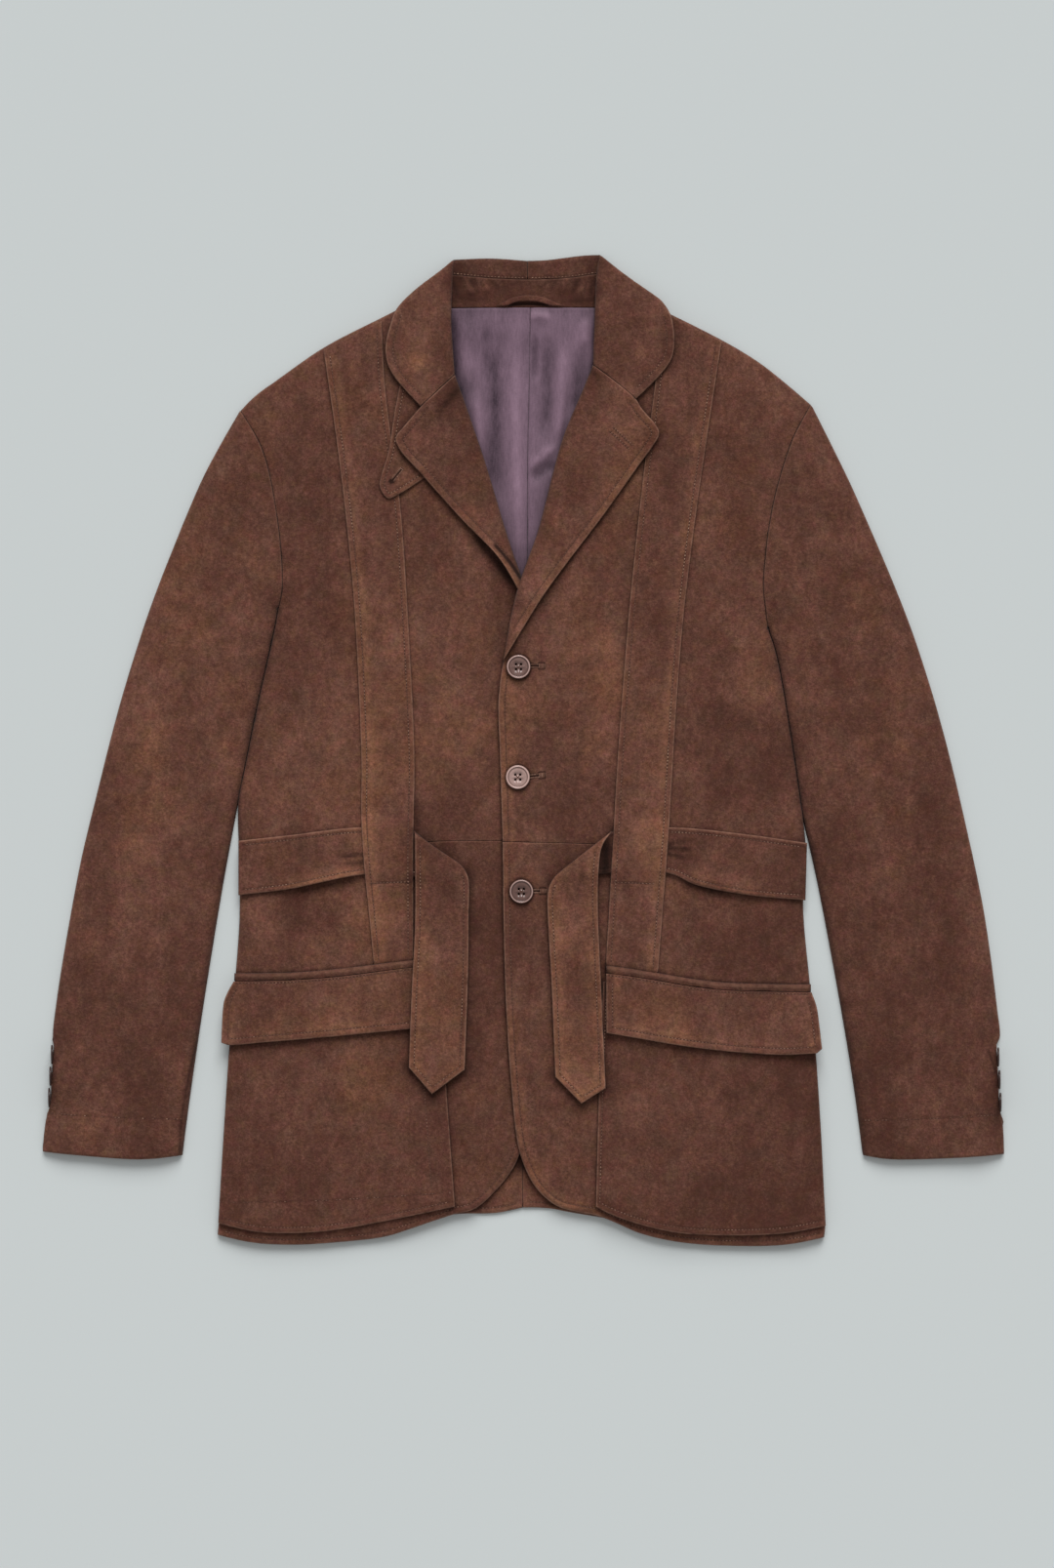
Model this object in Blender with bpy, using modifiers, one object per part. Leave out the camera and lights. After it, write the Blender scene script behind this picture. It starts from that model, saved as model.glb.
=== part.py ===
"""Belted suede jacket lying face up on a table, in metres with +Z up.

The jacket is drafted like a paper pattern: lines run through a few measured points,
and each panel is bounded by those lines. The panels are then laid on each other in
the order in which the garment was laid out, each resting on what lies under it.
Left and right are the viewer's, looking down with the collar at the top (+Y).
"""

import math

import bmesh
import bpy
import numpy as np
from mathutils import Vector
from mathutils.geometry import delaunay_2d_cdt

# Driving sizes, in millimetres
MM = 0.001
SEAM_GAP = 0.3          # between neighbours at a seam, and between layers
BODY_SUEDE = 2.0        # shell suede with its backing
COLLAR_SUEDE = 2.2
DOUBLED_SUEDE = 2.5     # belt, flaps and lapels are two thicknesses
TRIM_SUEDE = 1.5        # straps, pockets, tab and welts
SATIN = 1.0
SLEEVE_EDGE = 2 * BODY_SUEDE + SEAM_GAP   # height of a flattened sleeve at its edge
ROLL_SETBACK = 5.0      # the front's neck edge lies this far under the rolled lapel
WELT_HEIGHT = 6.5
SLEEVE_LOFT = 2.8       # air left in the middle of a flattened sleeve
FRONT_LOFT = 2.0
POCKET_LOFT = 0.4
LOFT_RUN = 45.0         # from a seam to where the loft is full
BODY_PITCH = 36.0       # facet size on the large panels
TRIM_PITCH = 24.0       # facet size on collar, lapels and trim
CHORD_ERROR = 0.35      # how far a facet edge may leave its curve
SETTLE_ROUNDS = 8       # how far a panel bridges the steps under it

FRONT_BUTTON = {"radius": 10.0, "height": 3.6}
CUFF_BUTTON = {"radius": 8.0, "height": 1.8}
CUFF_LEAN = math.radians(8)   # how far a cuff button leans in over the sleeve
# A button's section: share of its radius, share of its height, from the top middle down
BUTTON_SECTION = ((0.0, 0.62), (0.70, 0.62), (0.80, 1.0), (0.93, 0.92), (1.0, 0.6), (0.72, 0.0), (0.0, 0.0))
BUTTON_STEPS = 20

COLOURS = {
    "suede": ((0.17, 0.085, 0.052), 0.92),
    "satin": ((0.40, 0.27, 0.36), 0.45),
    "horn": ((0.07, 0.035, 0.02), 0.35),
}

# Pattern corners: x across, y up the garment, in millimetres
CORNERS = {
    "tip_left": (-231, 277), "tip_right": (236, 282),
    "neck_left": (-66, 378), "neck_mid": (4, 384), "neck_right": (68, 380),
    "pit_left": (-200.5, 113.6), "pit_right": (201, 100),
    "part_left": (-233, -43), "part_right": (229.8, -57),
    "waist_left": (-232.4, -88), "waist_right": (232.6, -88),
    "pocket_top_left": (-236, -193), "pocket_top_right": (236.2, -201),
    "pocket_foot_left": (-249, -388), "pocket_foot_right": (248, -390),
    "hem_left": (-250, -398), "hem_right": (247, -400), "hem_mid": (0, -376),
    "cuff_out_left": (-393, -330), "cuff_in_left": (-279, -333),
    "cuff_out_right": (394, -332), "cuff_in_right": (279, -333),
    "waist_front_left": (10, -75), "waist_front_right": (-16.6, -76),
    "curve_left": (-56, -381), "curve_right": (60, -381.8),
    "break_left": (8, 105), "break_right": (-16, 71),
    "gorge_left": (-55.1, 305.8), "gorge_right": (57.2, 313.8),
    "notch_left": (-83.3, 279.2), "notch_right": (92.8, 285.6),
    "fold_left": (-56, 401), "fold_mid": (4, 400), "fold_right": (63, 405),
    "stand_left": (-60, 388), "stand_mid": (4, 384), "stand_right": (64, 389),
    "shoulder_fold_left": (-104, 358), "shoulder_fold_right": (120, 357),
    "lining_left": (-70, 360.2), "lining_mid": (6.4, 361), "lining_right": (72, 360.6),
    "lining_foot": (4, 112),
}

# The creases where the fronts turn back into lapels: x, y
ROLL_LEFT = ((-48.5, 287.6), (-37.4, 255.3), (-28, 227), (-18, 193), (-8, 161), (-1, 142))
ROLL_RIGHT = ((48, 291), (33, 255), (25, 227), (12, 177), (0, 144), (-4, 132), (-11, 102))

# Pattern lines: a start corner, points x, y on the way, and an end corner
LINES = {
    "shoulder_left": ("neck_left", (-104.4, 358.7), (-162.4, 329.1), (-201, 302.3), (-220, 288.4),
                      "tip_left"),
    "shoulder_right": ("neck_right", (121, 356), (163, 335), (196, 315), "tip_right"),
    "armhole_left": ("tip_left", (-213.5, 246), (-203.1, 204.6), (-197, 152), (-197, 128.3), "pit_left"),
    "armhole_right": ("tip_right", (220, 251), (204, 196), (199, 161), (197, 132), "pit_right"),
    "underarm_left": ("pit_left", (-203.3, 97.2), (-217.3, 35.3), "part_left"),
    "underarm_right": ("pit_right", (208, 77), (219, 16), "part_right"),
    "sleeve_inner_left": ("part_left", (-244.8, -106), (-263, -218), (-274, -294), "cuff_in_left"),
    "sleeve_inner_right": ("part_right", (241, -106), (262, -218), (272, -280), "cuff_in_right"),
    "cuff_left": ("cuff_in_left", (-311, -336), (-348, -334), "cuff_out_left"),
    "cuff_right": ("cuff_in_right", (300, -336), (352, -335), "cuff_out_right"),
    "sleeve_outer_left": ("cuff_out_left", (-391.2, -312), (-390, -303), (-386.2, -294.5), (-384.9, -275.5),
                          (-382.9, -249), (-382.6, -242), (-384.2, -236), (-382.8, -218), (-373.8, -159),
                          (-361, -90), (-350.1, -44.4), (-333.3, 22.4), (-319.8, 69), (-303.5, 118.4),
                          (-285.3, 165.5), (-259, 227), "tip_left"),
    "sleeve_outer_right": ("cuff_out_right", (392.6, -306), (389.6, -297), (388.4, -274), (387, -250),
                           (387, -244), (390.6, -236), (389.4, -223), (386.4, -197), (377.2, -132),
                           (363.3, -65.5), (346.1, 6.4), (331.6, 57), (314.9, 106.3), (291.6, 163.6),
                           (280, 190.3), (265.5, 222.6), "tip_right"),
    "side_upper_left": ("part_left", "waist_left"),
    "side_upper_right": ("part_right", "waist_right"),
    "side_belt_left": ("waist_left", (-232, -140), "pocket_top_left"),
    "side_belt_right": ("waist_right", (229.9, -127), "pocket_top_right"),
    "side_pocket_left": ("pocket_top_left", (-240, -243), (-246, -336), "pocket_foot_left"),
    "side_pocket_right": ("pocket_top_right", (240, -249), (244, -310), "pocket_foot_right"),
    "side_hem_left": ("pocket_foot_left", "hem_left"),
    "side_hem_right": ("pocket_foot_right", "hem_right"),
    "back_neck_left": ("neck_left", (-55, 384), (-26, 384), "neck_mid"),
    "back_neck_right": ("neck_right", (56, 386), (30, 384), "neck_mid"),
    "back_seam": ("neck_mid", (3, 100), "hem_mid"),
    "back_hem_left": ("hem_left", (-190, -399), (-110, -389), (-52, -381.2), (-22, -380.4), "hem_mid"),
    "back_hem_right": ("hem_right", (190, -400), (110, -391), (40, -380), (20, -376.4), "hem_mid"),
    "waist_seam_left": ("waist_left", (-77, -76), "waist_front_left"),
    "waist_seam_right": ("waist_right", (58, -78), "waist_front_right"),
    "neck_edge_left": ("neck_left", (-64, 340), *((x - ROLL_SETBACK, y) for x, y in ROLL_LEFT),
                       "break_left"),
    "neck_edge_right": ("neck_right", (65, 345), *((x + ROLL_SETBACK, y) for x, y in ROLL_RIGHT),
                        "break_right"),
    "front_edge_left": ("break_left", (10, 50), "waist_front_left"),
    "front_edge_right": ("break_right", (-20, 40), (-19, 0), "waist_front_right"),
    "front_curve_left": ("waist_front_left", (9, -200), (4, -306), (-6, -340.4), (-22.7, -362.5),
                         (-39.5, -376.7), "curve_left"),
    "front_curve_right": ("waist_front_right", (-16, -130), (-14, -205), (-8.8, -283), (-2.6, -330),
                          (10.2, -358.4), (29, -374.6), "curve_right"),
    "front_hem_left": ("curve_left", (-81, -389), (-112, -399.2), (-152, -404), (-190, -406), (-222, -404),
                       "hem_left"),
    "front_hem_right": ("curve_right", (76, -387.8), (95, -396.2), (128, -403.8), (172, -407), (214, -406),
                        "hem_right"),
    "lining_neck_left": ("lining_left", "lining_mid"),
    "lining_neck_right": ("lining_mid", "lining_right"),
    "lining_edge_left": ("lining_left", (-70, 306), (-52, 255), (-31, 193), (-14, 150), "lining_foot"),
    "lining_edge_right": ("lining_right", (70, 316), (47, 255), (27, 177), (12, 135), "lining_foot"),
    "lining_seam": ("lining_mid", (5.4, 300), (4.2, 240), "lining_foot"),
    "facing_end_left": ("stand_left", "lining_left"),
    "facing_end_right": ("stand_right", "lining_right"),
    "stand_seam_left": ("stand_left", (-26, 385), "stand_mid"),
    "stand_seam_right": ("stand_mid", (35, 385), "stand_right"),
    "stand_centre": ("stand_mid", "fold_mid"),
    "stand_end_left": ("stand_left", "fold_left"),
    "stand_end_right": ("stand_right", "fold_right"),
    "collar_fold_left": ("fold_left", (-26, 402), "fold_mid"),
    "collar_fold_right": ("fold_mid", (24, 401), (45, 404), "fold_right"),
    "collar_shoulder_left": ("fold_left", (-67.5, 391.4), (-84, 378.8), (-98, 366), "shoulder_fold_left"),
    "collar_shoulder_right": ("fold_right", (83, 389), (101, 376), (114, 366), "shoulder_fold_right"),
    "collar_back_edge": ("shoulder_fold_left", (-84, 346), (-40, 338), (4, 336), (50, 338), (100, 346),
                         "shoulder_fold_right"),
    "collar_point_left": ("shoulder_fold_left", (-108, 346.6), (-112, 330), (-111, 316), (-104.7, 303.3),
                          "notch_left"),
    "collar_point_right": ("shoulder_fold_right", (123, 347), (124, 331), (122.2, 319.2), (114.1, 306.9),
                           "notch_right"),
    "gorge_seam_left": ("gorge_left", "notch_left"),
    "gorge_seam_right": ("gorge_right", (73.4, 301.8), "notch_right"),
    "collar_roll_left": ("gorge_left", (-58, 350), "fold_left"),
    "collar_roll_right": ("gorge_right", (59, 364), (60, 390), "fold_right"),
    "lapel_edge_left": ("notch_left", (-97.3, 262.8), (-103.8, 254), (-101, 244.8), (-82.4, 223.6),
                        (-58, 196), (-38.1, 174.9), (-22.3, 158.9), (-9.2, 139.4), "break_left"),
    "lapel_edge_right": ("notch_right", (98.3, 276.6), (107.2, 266.8), (111.8, 257.5), (108.2, 249.6),
                         (92.5, 227.8), (69.5, 195.1), (50.6, 170.1), (30.3, 143.3), (14.7, 121.1),
                         (-5.7, 87.6), "break_right"),
    "lapel_roll_left": ("gorge_left", *ROLL_LEFT, "break_left"),
    "lapel_roll_right": ("gorge_right", *ROLL_RIGHT, "break_right"),
}

# Trim that is sewn or laid on the panels: a row of points x, y for each stretch between corners
TRIM_OUTLINES = {
    "hanger_loop": (
        ((-22, 362), (-8, 369), (4, 371), (18, 369), (34, 362)),
        ((34, 362), (24, 362)),
        ((24, 362), (14, 364.8), (4, 365.8), (-6, 364.8), (-13, 362)),
        ((-13, 362), (-22, 362)),
    ),
    "throat_tab": (
        ((-100, 300), (-105.8, 270), (-110, 242), (-115.4, 224), (-117, 214), (-110, 204), (-102, 207),
         (-80, 221)),
        ((-80, 221), (-76, 250), (-82, 296)),
        ((-82, 296), (-100, 300)),
    ),
    "strap_left": (
        ((-163, 326), (-154, 264), (-145, 192), (-138, 118), (-132, -10), (-132, -62), (-122, -175.6)),
        ((-122, -175.6), (-89, -171.4)),
        ((-89, -171.4), (-89, -68), (-88, -10), (-94, 118), (-100, 203), (-108, 261), (-112, 294),
         (-115, 350)),
        ((-115, 350), (-163, 326)),
    ),
    "strap_right": (
        ((163, 333), (152, 261), (142, 192), (132.8, 118), (127, 50), (123.2, -10), (120, -62),
         (111, -182.2)),
        ((111, -182.2), (67.6, -176.2)),
        ((67.6, -176.2), (71.2, -114), (74, -67), (77.2, -10), (81.5, 50), (87.2, 118), (94.8, 192),
         (100.4, 241), (108, 299), (114, 357)),
        ((114, 357), (163, 333)),
    ),
    "belt_left": (
        ((-232.4, -75), (-190, -70.4), (-132, -64), (-88, -67)),
        ((-88, -67), (-46, -104)),
        ((-46, -104), (-88, -105), (-129, -103), (-190, -114.8), (-232.4, -120)),
        ((-232.4, -120), (-232.4, -75)),
    ),
    "belt_right": (
        ((232.6, -76.8), (180, -69.4), (121, -64), (74, -67)),
        ((74, -67), (28, -106)),
        ((28, -106), (70, -102), (120, -102.2), (141, -111.2), (186, -120), (231.4, -124)),
        ((231.4, -124), (232.6, -76.8)),
    ),
    "belt_end_left": (
        ((-88, -68), (-66, -84), (-49, -96), (-44, -106)),
        ((-44, -106), (-44, -169), (-47, -262)),
        ((-47, -262), (-74, -282)),
        ((-74, -282), (-93, -260)),
        ((-93, -260), (-91, -205), (-88, -140), (-88, -68)),
    ),
    "belt_end_right": (
        ((73, -67), (65, -80), (62, -102), (62, -140), (64, -184), (68, -277)),
        ((68, -277), (48, -290)),
        ((48, -290), (26.4, -268)),
        ((26.4, -268), (23.2, -189), (20.4, -140), (20.6, -116), (25.4, -105.4), (37.6, -94.6), (73, -67)),
    ),
    "pocket_edge_left": (((-68, -188), (-62.6, -270), (-55, -374)),
                         ((-55, -374), (-112, -386), (-164, -394.6), (-216, -395), (-249, -388))),
    "pocket_edge_right": (((65.5, -190), (62, -283), (59.6, -374)),
                          ((59.6, -374), (76, -382.2), (118, -394.2), (150, -397.4), (212, -396.4),
                           (248, -390))),
    "welt_left": (((-236, -183.5), (-188, -182.6), (-148, -179.4), (-108, -174.4), (-71, -170)),),
    "welt_right": (((68, -176.8), (100, -181.2), (132, -186.8), (160, -190.4), (192, -191.8),
                    (236, -192.4)),),
    "flap_foot_left": (((-71, -227), (-92, -229), (-164, -236), (-240, -242)),
                       ((-240, -242), (-246, -240)),
                       ((-246, -240), (-243.6, -205), (-236, -190))),
    "flap_foot_right": (((68, -232), (147, -245), (212, -250), (240, -248.6)),
                        ((240, -248.6), (244.4, -244.8)),
                        ((244.4, -244.8), (240, -210), (236, -198.9))),
}

# Front buttons: x, y
FRONT_BUTTONS = ((-3.3, 66.8), (-3.9, -23.2), (-1.0, -116.4))
# Cuff buttons on each sleeve's outer edge: y of the first, and the step down to the next
CUFF_ROWS = {"left": (-250.0, -17.6), "right": (-252.0, -18.5)}
CUFF_COUNT = 3


def curve_through(points):
    """A smooth curve through the points, as runs that stay close to it."""
    knots = [Vector(p) for p in points]
    if len(knots) == 2:
        fine = [knots[0].lerp(knots[1], i / 32) for i in range(33)]
    else:
        ends = [2 * knots[0] - knots[1]] + knots + [2 * knots[-1] - knots[-2]]
        fine = [knots[0]]
        for a, b, c, d in zip(ends, ends[1:], ends[2:], ends[3:]):
            fine += [catmull_rom(a, b, c, d, (i + 1) / 16) for i in range(16)]
    return [tuple(p) for p in thinned(fine)]


def catmull_rom(a, b, c, d, share):
    """A point between b and c on the centripetal curve through a, b, c and d."""
    t0 = 0.0
    t1 = t0 + math.sqrt((b - a).length)
    t2 = t1 + math.sqrt((c - b).length)
    t3 = t2 + math.sqrt((d - c).length)
    t = t1 + share * (t2 - t1)
    ab = a.lerp(b, (t - t0) / (t1 - t0))
    bc = b.lerp(c, (t - t1) / (t2 - t1))
    cd = c.lerp(d, (t - t2) / (t3 - t2))
    abc = ab.lerp(bc, (t - t0) / (t2 - t0))
    bcd = bc.lerp(cd, (t - t1) / (t3 - t1))
    return abc.lerp(bcd, (t - t1) / (t2 - t1))


def thinned(fine):
    """Halves a run of points until each chord is short and close to the curve."""
    start, end = fine[0], fine[-1]
    chord = end - start
    across = Vector((-chord.y, chord.x)).normalized()
    bow = max(abs((p - start).dot(across)) for p in fine)
    if len(fine) == 2 or (bow < CHORD_ERROR and chord.length < BODY_PITCH):
        return [start, end]
    middle = len(fine) // 2
    return thinned(fine[:middle + 1])[:-1] + thinned(fine[middle:])


def line_points(name):
    """The points of a pattern line; a leading minus walks it backwards."""
    rows = LINES[name.lstrip("-")]
    points = curve_through([CORNERS[row] if isinstance(row, str) else row for row in rows])
    return points[::-1] if name.startswith("-") else points


def joined(stretches):
    """One closed outline, turning anticlockwise, from stretches that meet end to end."""
    outline = []
    for stretch in stretches:
        outline += stretch[:-1]
    area = sum(a[0] * b[1] - b[0] * a[1] for a, b in zip(outline, outline[1:] + outline[:1]))
    return outline if area > 0 else outline[::-1]


def pattern(*lines):
    return joined([line_points(name) for name in lines])


def trim(name):
    return joined([curve_through(stretch) for stretch in TRIM_OUTLINES[name]])


def pocket(side):
    edge, foot = (curve_through(stretch) for stretch in TRIM_OUTLINES[f"pocket_edge_{side}"])
    top = curve_through((CORNERS[f"pocket_top_{side}"], edge[0]))
    return joined([top, edge, foot, line_points(f"-side_pocket_{side}")])


def welt_and_flap(side):
    """The welt strip and the flap below it, sharing the line between them."""
    top = curve_through(TRIM_OUTLINES[f"welt_{side}"][0])
    low = [(x, y - WELT_HEIGHT) for x, y in top]
    if side == "right":
        top, low = top[::-1], low[::-1]
    foot = [curve_through(stretch) for stretch in TRIM_OUTLINES[f"flap_foot_{side}"]]
    welt = joined([top, [top[-1], low[-1]], low[::-1], [low[0], top[0]]])
    flap = joined([low, [low[-1], foot[0][0]], *foot])
    return welt, flap


def nearest_distance(point, outline):
    """How far a point lies from an outline."""
    a = np.array(outline)
    b = np.roll(a, -1, axis=0)
    along = b - a
    share = ((point - a) * along).sum(1) / (along ** 2).sum(1)
    foot = a + np.clip(share, 0, 1)[:, None] * along
    return np.linalg.norm(foot - point, axis=1).min()


def inside(point, outline):
    """Whether a point lies in an outline, by counting crossings."""
    a = np.array(outline)
    b = np.roll(a, -1, axis=0)
    spans = (a[:, 1] > point[1]) != (b[:, 1] > point[1])
    drop = np.where(spans, b[:, 1] - a[:, 1], 1.0)
    x = a[:, 0] + (point[1] - a[:, 1]) / drop * (b[:, 0] - a[:, 0])
    return bool((spans & (x > point[0])).sum() % 2)


def inner_points(outline, pitch):
    """A triangular grid inside an outline, kept clear of its edge."""
    corners = np.array(outline)
    low, high = corners.min(0), corners.max(0)
    found = []
    rise = pitch * math.sqrt(3) / 2
    for row in range(int((high[1] - low[1]) / rise) + 1):
        for column in range(int((high[0] - low[0]) / pitch) + 2):
            point = low + np.array([(column + 0.5 * (row % 2)) * pitch, (row + 0.5) * rise])
            if inside(point, outline) and nearest_distance(point, outline) > 0.45 * pitch:
                found.append(tuple(point))
    return found


class Pile:
    """Everything laid so far, as the triangles of its upper faces."""

    def __init__(self):
        self.triangles = np.zeros((0, 3, 3))

    def add(self, triangles):
        self.triangles = np.concatenate([self.triangles, triangles])

    def near(self, points):
        low, high = points.min(0) - 1, points.max(0) + 1
        flat = self.triangles[:, :, :2]
        return self.triangles[((flat.max(1) > low) & (flat.min(1) < high)).all(1)]

    def height(self, x, y, radius):
        """The highest point of the pile under a disc."""
        corners = [(x + radius * math.cos(a), y + radius * math.sin(a)) for a in np.linspace(0, 6.1, 24)]
        points = np.array(corners + [(x, y)])
        found = shares_in(points, self.near(points))
        return max(height for _, height in found)


def shares_in(points, triangles):
    """The index and the triangle's height at each point that a triangle covers."""
    found = []
    for triangle in triangles:
        weights = barycentric(points, triangle[:, :2])
        for index in np.nonzero((weights > -1e-9).all(1))[0]:
            found.append((index, float(weights[index] @ triangle[:, 2])))
    return found


def barycentric(points, corners):
    a, b, c = corners
    area = (b[0] - a[0]) * (c[1] - a[1]) - (b[1] - a[1]) * (c[0] - a[0])
    to_b = ((points[:, 0] - a[0]) * (c[1] - a[1]) - (points[:, 1] - a[1]) * (c[0] - a[0])) / area
    to_c = ((b[0] - a[0]) * (points[:, 1] - a[1]) - (b[1] - a[1]) * (points[:, 0] - a[0])) / area
    return np.stack([1 - to_b - to_c, to_b, to_c], axis=1)


def clearances(points, faces, pile):
    """What keeps a faceted panel above the pile: vertices, their shares and a least height."""
    below = pile.near(points)
    index, share, least = [], [], []

    def keep(vertices, weights, height):
        index.append(vertices)
        share.append(weights)
        least.append(height + SEAM_GAP)

    for vertex, height in shares_in(points, below):
        keep((vertex, vertex, vertex), (1, 0, 0), height)
    corners = np.unique(below.reshape(-1, 3).round(6), axis=0)
    for face in faces:
        weights = barycentric(corners[:, :2], points[list(face)])
        for corner in np.nonzero((weights > -1e-9).all(1))[0]:
            keep(face, tuple(weights[corner]), corners[corner, 2])
    ends = [(below[:, i], below[:, (i + 1) % 3]) for i in range(3)]
    start = np.concatenate([pair[0] for pair in ends])
    run = np.concatenate([pair[1] for pair in ends]) - start
    for a, b in {tuple(sorted((face[i], face[(i + 1) % 3]))) for face in faces for i in range(3)}:
        way = points[b] - points[a]
        cross = way[0] * run[:, 1] - way[1] * run[:, 0]
        safe = np.where(np.abs(cross) < 1e-9, np.inf, cross)
        gap = start[:, :2] - points[a]
        on_new = (gap[:, 0] * run[:, 1] - gap[:, 1] * run[:, 0]) / safe
        on_old = (gap[:, 0] * way[1] - gap[:, 1] * way[0]) / safe
        meet = (on_new > 0) & (on_new < 1) & (on_old > 0) & (on_old < 1) & np.isfinite(safe)
        for hit in np.nonzero(meet)[0]:
            keep((a, b, b), (1 - on_new[hit], on_new[hit], 0), start[hit, 2] + on_old[hit] * run[hit, 2])
    return np.array(index, int).reshape(-1, 3), np.array(share).reshape(-1, 3), np.array(least)


def settle(points, faces, pile):
    """Heights at which a panel lies on the pile, bridging its steps softly."""
    index, share, least = clearances(points, faces, pile)
    power = (share ** 2).sum(1, keepdims=True)
    edges = np.array([(face[i], face[(i + 1) % 3]) for face in faces for i in range(3)])
    count = np.bincount(edges.ravel(), minlength=len(points)).astype(float)
    height = np.zeros(len(points))

    def lift():
        short = np.maximum(least - (share * height[index]).sum(1), 0)
        rise = np.zeros(len(points))
        np.maximum.at(rise, index.ravel(), (share * (short[:, None] / power)).ravel())
        return height + rise

    height = lift()
    for _ in range(SETTLE_ROUNDS):
        around = np.zeros(len(points))
        np.add.at(around, edges[:, 0], height[edges[:, 1]])
        np.add.at(around, edges[:, 1], height[edges[:, 0]])
        height = 0.5 * height + 0.5 * around / count
        height = lift()
    spare = (share * height[index]).sum(1) - least
    return np.maximum(height - min(spare, default=0), 0)


def pulled_in(points, outline_edges):
    """Moves boundary points inwards by half a seam gap, square to the edges that meet there."""
    moved = points.copy()
    push = np.zeros_like(points)
    for a, b in outline_edges:
        way = (points[b] - points[a]) / np.linalg.norm(points[b] - points[a])
        inward = np.array([-way[1], way[0]])
        push[a] += inward
        push[b] += inward
    for vertex in {v for edge in outline_edges for v in edge}:
        square = push[vertex] @ push[vertex]
        moved[vertex] += push[vertex] * SEAM_GAP / max(square, 1.0)
    return moved


def lay(panels, outlines, pile):
    """Cuts a group of sewn panels from one sheet, lays it on the pile and makes its solids."""
    points, loops = [], []
    for name, *_ in panels:
        loop = []
        for corner in outlines[name]:
            known = [i for i, p in enumerate(points) if math.dist(p, corner) < 1e-6]
            if not known:
                points.append(corner)
            loop.append(known[0] if known else len(points) - 1)
        loops.append(loop)
    for name, _, _, pitch, _ in panels:
        points += inner_points(outlines[name], pitch)
    flat, _, faces, _, _, owners = delaunay_2d_cdt([Vector(p) for p in points], [], loops, 1, 1e-6)
    flat = np.array([tuple(p) for p in flat])
    faces = [tuple(face) for face in faces]
    rest = settle(flat, faces, pile)
    for number, (name, thickness, loft, _, colour) in enumerate(panels):
        own = [face for face, owner in zip(faces, owners) if number in owner]
        used = sorted({v for face in own for v in face})
        place = {v: i for i, v in enumerate(used)}
        own = [tuple(place[v] for v in face) for face in own]
        directed = {(face[i], face[(i + 1) % 3]) for face in own for i in range(3)}
        rim = [edge for edge in directed if edge[::-1] not in directed]
        plan = pulled_in(flat[used], rim)
        run = np.array([min(nearest_distance(p, outlines[name]) / LOFT_RUN, 1) for p in flat[used]])
        height = rest[used] + loft * run * (2 - run)
        sheet = np.column_stack([plan, height])
        make_panel(name, sheet, own, thickness, colour)
        top = sheet + (0, 0, thickness)
        pile.add(np.array([top[list(face)] for face in own]))


def make_panel(name, sheet, faces, thickness, colour):
    """A cloth solid: its lower sheet, raised by its thickness."""
    mesh_data = bmesh.new()
    vertices = [mesh_data.verts.new(Vector(p) * MM) for p in sheet]
    for face in faces:
        mesh_data.faces.new([vertices[v] for v in face])
    raised = bmesh.ops.extrude_face_region(mesh_data, geom=mesh_data.faces[:])
    upper = [item for item in raised["geom"] if isinstance(item, bmesh.types.BMVert)]
    bmesh.ops.translate(mesh_data, vec=(0, 0, thickness * MM), verts=upper)
    bmesh.ops.recalc_face_normals(mesh_data, faces=mesh_data.faces[:])
    mesh = bpy.data.meshes.new(name)
    mesh_data.to_mesh(mesh)
    mesh_data.free()
    add_object(name, mesh, colour)


def add_object(name, mesh, colour):
    part = bpy.data.objects.new(name, mesh)
    part.data.materials.append(material(name, colour))
    bpy.data.collections[COLLECTION].objects.link(part)
    return part


def material(name, colour):
    base, roughness = COLOURS[colour]
    made = bpy.data.materials.new(f"{name}_{colour}")
    made.use_nodes = True
    shader = made.node_tree.nodes["Principled BSDF"]
    shader.inputs["Base Color"].default_value = (*base, 1)
    shader.inputs["Roughness"].default_value = roughness
    shader.inputs["Metallic"].default_value = 0.0
    return made


def make_button(name, size, place, turn):
    """A turned button with a raised rim, its flat back at the given place."""
    mesh_data = bmesh.new()
    rows = [(r * size["radius"] * MM, 0, h * size["height"] * MM) for r, h in BUTTON_SECTION]
    profile = [mesh_data.verts.new(row) for row in rows]
    for a, b in zip(profile, profile[1:]):
        mesh_data.edges.new((a, b))
    mesh = bpy.data.meshes.new(name)
    mesh_data.to_mesh(mesh)
    mesh_data.free()
    button = add_object(name, mesh, "horn")
    button.location = Vector(place) * MM
    button.rotation_euler = (0, turn, 0)
    screw = button.modifiers.new("turn", "SCREW")
    screw.steps = BUTTON_STEPS
    screw.render_steps = BUTTON_STEPS
    screw.use_merge_vertices = True
    screw.merge_threshold = 0.00001


def sleeve_reach(side, y, half):
    """How far from the middle a sleeve's outer edge reaches, at most, within a half width of y."""
    edge = sorted((row, abs(x)) for x, row in line_points(f"sleeve_outer_{side}"))
    rows, reach = zip(*edge)
    return float(np.interp(np.linspace(y - half, y + half, 9), rows, reach).max())


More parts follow.
